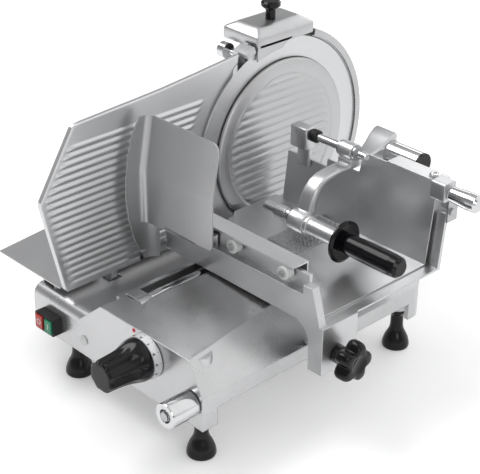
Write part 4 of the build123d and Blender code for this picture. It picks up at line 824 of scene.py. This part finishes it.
guard_mesh = smooth(mesh_of("folded_guard", folded_guard), sheet_sharp)
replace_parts(piece("folded_guard", guard_mesh, "carriage", finishes["guard"]), "hand_guard")

# the sharpener's housing: a rounded cap with a sloped roof and a plate that hangs down over the blade
cap_low = (-66.0, -50.0)
cap_high = (4.0, 58.0)
cap_corner = 5.0
cap_inner_corner = 3.0
cap_outside = [(0.6, 380.0), (0.0, 380.8), (0.0, 393.2), (0.5, 394.8), (1.8, 396.4), (11.4, 402.0),
               (13.4, 403.2), (16.0, 403.9), (18.0, 404.0)]
cap_inside = [(3.2, 380.0), (3.2, 392.6), (15.5, 400.6), (18.0, 401.2)]
corner_steps = 6
front_plate_x = (1.6, 4.0)
front_plate_y = (-50.0, 14.0)
front_plate_arc = 139.0
front_plate_top = 384.0
front_plate_high = 382.0
front_plate_rise_at = -6.0
front_plate_rise_over = 18.0
front_plate_steps = 24


def round_ring(form, inset, z, radius):
    low_x, low_y = cap_low[0] + inset + radius, cap_low[1] + inset + radius
    high_x, high_y = cap_high[0] - inset - radius, cap_high[1] - inset - radius
    ring = []
    for quarter, corner in enumerate(((high_x, high_y), (low_x, high_y), (low_x, low_y), (high_x, low_y))):
        for i in range(corner_steps + 1):
            x, y = arc_place(corner, radius, (quarter + i / corner_steps) / 4)
            ring.append(form.verts.new((x * mm, y * mm, z * mm)))
    return ring


def front_plate(form):
    """The plate over the blade: its lower edge follows the blade's rim, then rises."""
    made = []
    for x in front_plate_x:
        line = []
        for i in range(front_plate_steps + 1):
            y = front_plate_y[0] + (front_plate_y[1] - front_plate_y[0]) * i / front_plate_steps
            low = axis_z + math.sqrt(front_plate_arc ** 2 - y ** 2)
            low += (front_plate_high - low) * ease((y - front_plate_rise_at) / front_plate_rise_over)
            line.append([form.verts.new((x * mm, y * mm, z * mm)) for z in (low, front_plate_top)])
        made.append(line)
    back_line, front_line = made
    for i in range(front_plate_steps):
        for line in made:
            form.faces.new((line[i][0], line[i + 1][0], line[i + 1][1], line[i][1]))
        for end in (0, 1):
            back_pair = (back_line[i][end], back_line[i + 1][end])
            form.faces.new((*back_pair, front_line[i + 1][end], front_line[i][end]))
    for i in (0, front_plate_steps):
        form.faces.new((back_line[i][0], back_line[i][1], front_line[i][1], front_line[i][0]))


def rounded_cap(form):
    outer = [round_ring(form, inset, z, cap_corner) for inset, z in cap_outside]
    inner = [round_ring(form, inset, z, cap_inner_corner) for inset, z in cap_inside]
    for stack in (outer, inner):
        join_rings(form, stack)
        form.faces.new(stack[-1])
    join_rings(form, [outer[0], inner[0]])
    front_plate(form)
    face_out(form)


cap_mesh = smooth(mesh_of("rounded_cap", rounded_cap))
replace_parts(piece("rounded_cap", cap_mesh, "sharpener", finishes["head"]), "sharpener_housing")

# the table's rear wall goes on at a lower height behind the arm, and rises again past it
fill_x = (100.0, 201.0)
fill_low = 222.0
fill_top = (242.5, 271.5)
fill_rise_at = 156.6
fill_rise_over = 3.4
fill_depths = (0.05, 1.9)
fill_steps = 120
wall_foot = (-20.0, 158.0)
wall_top = (-6.0, 273.0)


def fill_line(depth, upper):
    """A line of points along the wall's lower or upper edge, on its front or its rear face."""
    line = []
    for i in range(fill_steps + 1):
        x = fill_x[0] + (fill_x[1] - fill_x[0]) * i / fill_steps
        z = fill_low
        if upper:
            z = fill_top[0] + (fill_top[1] - fill_top[0]) * ease((x - fill_rise_at) / fill_rise_over)
        y = wall_foot[0] + (wall_top[0] - wall_foot[0]) * (z - wall_foot[1]) / (wall_top[1] - wall_foot[1])
        line.append((x * mm, (y + depth) * mm, z * mm))
    return line


def fill_sheet(form):
    front, rear = fill_depths
    corners = ((front, False), (front, True), (rear, True), (rear, False), (front, False))
    made = sheet_rows(form, [fill_line(depth, upper) for depth, upper in corners])
    form.faces.new([row[0] for row in made[:4]])
    form.faces.new([row[-1] for row in made[:4]])
    close_up(form)


piece("rear_fill", mesh_of("rear_fill", fill_sheet), "table", finishes["sheet"])

# the flange's screw: a turned head with a socket over a plain shank
screw_place = (270.0, 6.5, 273.0)
screw_sides = 48
screw_profile = [(5.2, -2.2), (5.3, -2.0), (5.3, 0.0), (7.6, 0.05), (8.0, 0.5), (8.0, 2.0), (7.2, 3.0),
                 (5.2, 3.3), (4.0, 3.3), (3.6, 2.0), (0.2, 1.9)]


def flange_screw(form):
    turned(form, in_metres(screw_profile), [v * mm for v in screw_place], (0, 0, 1), screw_sides)
    face_out(form)


screw_mesh = smooth(mesh_of("flange_screw", flange_screw), knob_sharp)
piece("flange_screw", screw_mesh, "table", finishes["chrome"])

# the release knob's face: a black disc at the bottom of its socket, and a black ring as painted shade at the
# bottom of its groove
release_dark = [(0.2, 4.2), (2.9, 4.2), (2.9, 4.9), (0.2, 4.9)]
# painted shade: a black ring that lines the bottom of the groove
groove_shade = [(6.9, 2.2), (8.5, 2.2), (8.5, 2.59), (6.9, 2.59)]
dark_sides = 32
ring_sides = 64


def release_rings(form):
    turned(form, in_metres(release_dark), (lock_x, lock_front, lock_z), (0, 1, 0), dark_sides)
    rings = []
    for radius, height in in_metres(groove_shade + groove_shade[:1]):
        row = []
        for i in range(ring_sides + 1):
            x, z = arc_place((lock_x, lock_z), radius, i / ring_sides)
            row.append((x, lock_front + height, z))
        rings.append(row)
    sheet_rows(form, rings)
    close_up(form)


disc_and_groove_shade_mesh = smooth(mesh_of("release_rings", release_rings), knob_sharp)
# the black ring in the groove is painted shade
piece("release_rings", disc_and_groove_shade_mesh, "release", finishes["matte"])

# the star knob: five round lobes with deep hollows and a dished face
star_place = (303.3, -202.0, 115.0)
star_sides = 180
star_lobes = 5
star_r = 27.0
star_core_r = 12.6
star_profile = [(5.0, 0.0), (11.4, 0.0), (12.0, 0.6), (12.0, 14.0), (13.5, 14.9), (22.0, 15.4),
                (25.2, 16.6), (26.8, 19.5), (star_r, 24.0), (26.6, 30.0), (25.4, 33.6), (23.0, 35.8),
                (19.0, 36.6), (15.0, 36.7), (11.0, 36.4), (10.0, 35.6), (0.3, 35.4)]
hollow_depth = 9.5
hollow_power = 1.5


def star_shape(radius, height, angle):
    if radius < star_core_r * mm:
        return radius
    deep = hollow_depth * mm * (radius - star_core_r * mm) / ((star_r - star_core_r) * mm)
    return radius - deep * (0.5 - 0.5 * math.cos(star_lobes * angle)) ** hollow_power


def lobed_star(form):
    place = [v * mm for v in star_place]
    turned(form, in_metres(star_profile), place, (1, 0, 0), star_sides, star_shape)
    face_out(form)


star_mesh = smooth(mesh_of("lobed_star", lobed_star), sheet_sharp)
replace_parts(piece("lobed_star", star_mesh, "star", finishes["knob"]), "star_knob")

# inks for the numbers and marks

ink = plain_finish("black_ink", (0.02, 0.02, 0.02), (0.03, 0.03, 0.03), 0.5, edge=0.0)
white_ink = plain_finish("white_ink", (0.75, 0.75, 0.75), (0.80, 0.80, 0.80), 0.5, edge=0.0)
red_ink = plain_finish("red_ink", (0.62, 0.01, 0.03), (0.70, 0.02, 0.04), 0.4, edge=0.0)

# numbers and ticks round the dial's ring
ring_r = 28.55 * mm
number_y = -387.6 * mm
number_size = 6.4 * mm
number_bold = 0.30 * mm
ink_depth = 0.12 * mm
number_count = 13
tick_y = -382.4 * mm
tick_lift = 0.4 * mm
tick_length = 2.0 * mm
tick_half = 0.30 * mm


def dial_scale(form):
    up = Vector((0, 1, 0))
    hub = Vector((dial_x, 0, dial_z))
    for i in range(number_count):
        angle = math.pi / 2 - full_turn * i / number_count
        out = Vector((math.cos(angle), 0, math.sin(angle)))
        turn = Matrix((up.cross(out), up, out)).transposed().to_4x4()
        mesh = letters(str(i), number_size, ink_depth, number_bold)
        mesh.transform(Matrix.Translation(hub + up * number_y + out * ring_r) @ turn)
        form.from_mesh(mesh)
        move = Matrix.Translation(hub + up * tick_y + out * (ring_r + tick_lift)) @ turn
        size = Matrix.Diagonal((2 * tick_half, tick_length, ink_depth, 1))
        bmesh.ops.create_cube(form, size=1, matrix=move @ size)


piece("dial_scale", mesh_of("dial_scale", dial_scale), "dial", ink)

# the red index dot over the dial
index_place = Vector((134.6 * mm, -379.1 * mm, 144.2 * mm))
index_r = 2.8 * mm
index_depth = 0.5 * mm


def index_dot(form):
    disc(form, index_place, (0, -1, 0), index_r, index_depth)


piece("dial_index", mesh_of("dial_index", index_dot), "base", red_ink)

# O and I on the two buttons
mark_z = 83 * mm
mark_y = -395.55 * mm
mark_size = 11 * mm
facing_front = Matrix(((1, 0, 0), (0, 0, -1), (0, 1, 0))).to_4x4()
button_marks = (("stop_mark", "O", "stop_button", "red"), ("start_mark", "I", "start_button", "green"))
for name, text, button, slot in button_marks:
    low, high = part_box(button)
    mesh = letters(text, mark_size, ink_depth)
    mesh.transform(Matrix.Translation(((low.x + high.x) / 2, mark_y, mark_z)) @ facing_front)
    piece(name, mesh, button, white_ink)

# Stage

floor_half = 9.0
floor_white = 0.90
floor_rough = 0.9
floor_shine = 0.1
floor_glow = 0.24
# grey levels of the studio, from the horizon up, by the height of the direction
sky_levels = ((0.0, 0.62), (0.16, 0.46), (0.42, 0.26), (0.62, 0.36), (0.86, 0.72))
sky_blue = 1.01
# a wide soft light on the right rear side: its direction, where it starts and is full, and its level
soft_toward = (0.43, 0.68, 0.59)
soft_from, soft_full = 0.62, 0.88
soft_level = 1.15


def floor_grid(form):
    bmesh.ops.create_grid(form, x_segments=1, y_segments=1, size=floor_half)


floor = bpy.data.objects.new("floor", mesh_of("floor", floor_grid))
bpy.context.scene.collection.objects.link(floor)
ground = Tree("pale_floor")
ground.shader.inputs["Base Color"].default_value = (floor_white, floor_white, floor_white, 1)
ground.shader.inputs["Roughness"].default_value = floor_rough
ground.shader.inputs["Specular IOR Level"].default_value = floor_shine
path = ground.nodes.new("ShaderNodeLightPath")
seen = ground.add(ground.add(path.outputs["Is Camera Ray"], path.outputs["Is Glossy Ray"]),
                  path.outputs["Is Transmission Ray"])
glow = ground.nodes.new("ShaderNodeEmission")
glow.inputs["Color"].default_value = (1, 1, 1, 1)
ground.link(ground.times(seen, floor_glow), glow.inputs["Strength"])
both = ground.nodes.new("ShaderNodeAddShader")
ground.link(ground.shader.outputs["BSDF"], both.inputs[0])
ground.link(glow.outputs["Emission"], both.inputs[1])
output = next(n for n in ground.nodes if n.type == "OUTPUT_MATERIAL")
ground.link(both.outputs["Shader"], output.inputs["Surface"])
floor.data.materials.append(ground.material)

world = bpy.data.worlds.new("studio")
bpy.context.scene.world = world
world.use_nodes = True
sky = world.node_tree
background = sky.nodes["Background"]
background.inputs["Strength"].default_value = 1.0
coords = sky.nodes.new("ShaderNodeTexCoord")
split = sky.nodes.new("ShaderNodeSeparateXYZ")
sky.links.new(coords.outputs["Generated"], split.inputs["Vector"])
shade = sky.nodes.new("ShaderNodeValToRGB")
for place, level in sky_levels:
    stop = shade.color_ramp.elements.new(place)
    stop.color = (level, level, level * sky_blue, 1)
shade.color_ramp.elements.remove(shade.color_ramp.elements[0])
shade.color_ramp.elements.remove(shade.color_ramp.elements[-1])
sky.links.new(split.outputs["Z"], shade.inputs["Fac"])
toward = sky.nodes.new("ShaderNodeVectorMath")
toward.operation = "DOT_PRODUCT"
toward.inputs[1].default_value = soft_toward
sky.links.new(coords.outputs["Generated"], toward.inputs[0])
reach = sky.nodes.new("ShaderNodeMapRange")
reach.interpolation_type = "SMOOTHSTEP"
reach.inputs["From Min"].default_value = soft_from
reach.inputs["From Max"].default_value = soft_full
sky.links.new(toward.outputs["Value"], reach.inputs["Value"])
blend = sky.nodes.new("ShaderNodeMix")
blend.data_type = "RGBA"
blend.inputs["B"].default_value = (soft_level, soft_level, soft_level, 1)
sky.links.new(reach.outputs["Result"], blend.inputs["Factor"])
sky.links.new(shade.outputs["Color"], blend.inputs["A"])
sky.links.new(blend.outputs["Result"], background.inputs["Color"])


# each lamp's name, place, size and power, all aimed at one point of the machine
lamp_aim = (0.08, -0.12, 0.2)
lamps = (("key", (-0.9, -0.6, 1.9), (1.3, 1.0), 19), ("rim", (-0.6, 1.9, 1.3), (1.4, 0.8), 6),
         ("fill", (1.9, -1.0, 1.2), (1.0, 1.0), 8))


def lamp(name, place, size, power):
    data = bpy.data.lights.new(name, "AREA")
    data.shape = "RECTANGLE"
    data.size, data.size_y = size
    data.energy = power
    made = bpy.data.objects.new(name, data)
    made.location = place
    made.rotation_mode = "QUATERNION"
    made.rotation_quaternion = (Vector(lamp_aim) - Vector(place)).to_track_quat("-Z", "Y")
    bpy.context.scene.collection.objects.link(made)


for name, place, size, power in lamps:
    lamp(name, place, size, power)

# Camera, as fitted to the photograph's edges

eye = Vector((1.2342, -1.2627, 1.0329))
azimuth = math.radians(46.1)
elevation = math.radians(28.4)
roll = math.radians(0.73)
photo_width = 480
focal_pixels = 1384
sensor = 36
level = math.cos(elevation)
back = Vector((math.sin(azimuth) * level, -math.cos(azimuth) * level, math.sin(elevation)))
right = Vector((math.cos(azimuth), math.sin(azimuth), 0))
up = back.cross(right)
right_rolled = math.cos(roll) * right + math.sin(roll) * up
up_rolled = math.cos(roll) * up - math.sin(roll) * right
camera_data = bpy.data.cameras.new("camera")
camera_data.sensor_width = sensor
camera_data.lens = focal_pixels * sensor / photo_width
camera = bpy.data.objects.new("camera", camera_data)
turn = Matrix((right_rolled, up_rolled, back)).transposed().to_4x4()
camera.matrix_world = Matrix.Translation(eye) @ turn
bpy.context.scene.collection.objects.link(camera)
bpy.context.scene.camera = camera
bpy.context.scene.view_settings.view_transform = "Standard"
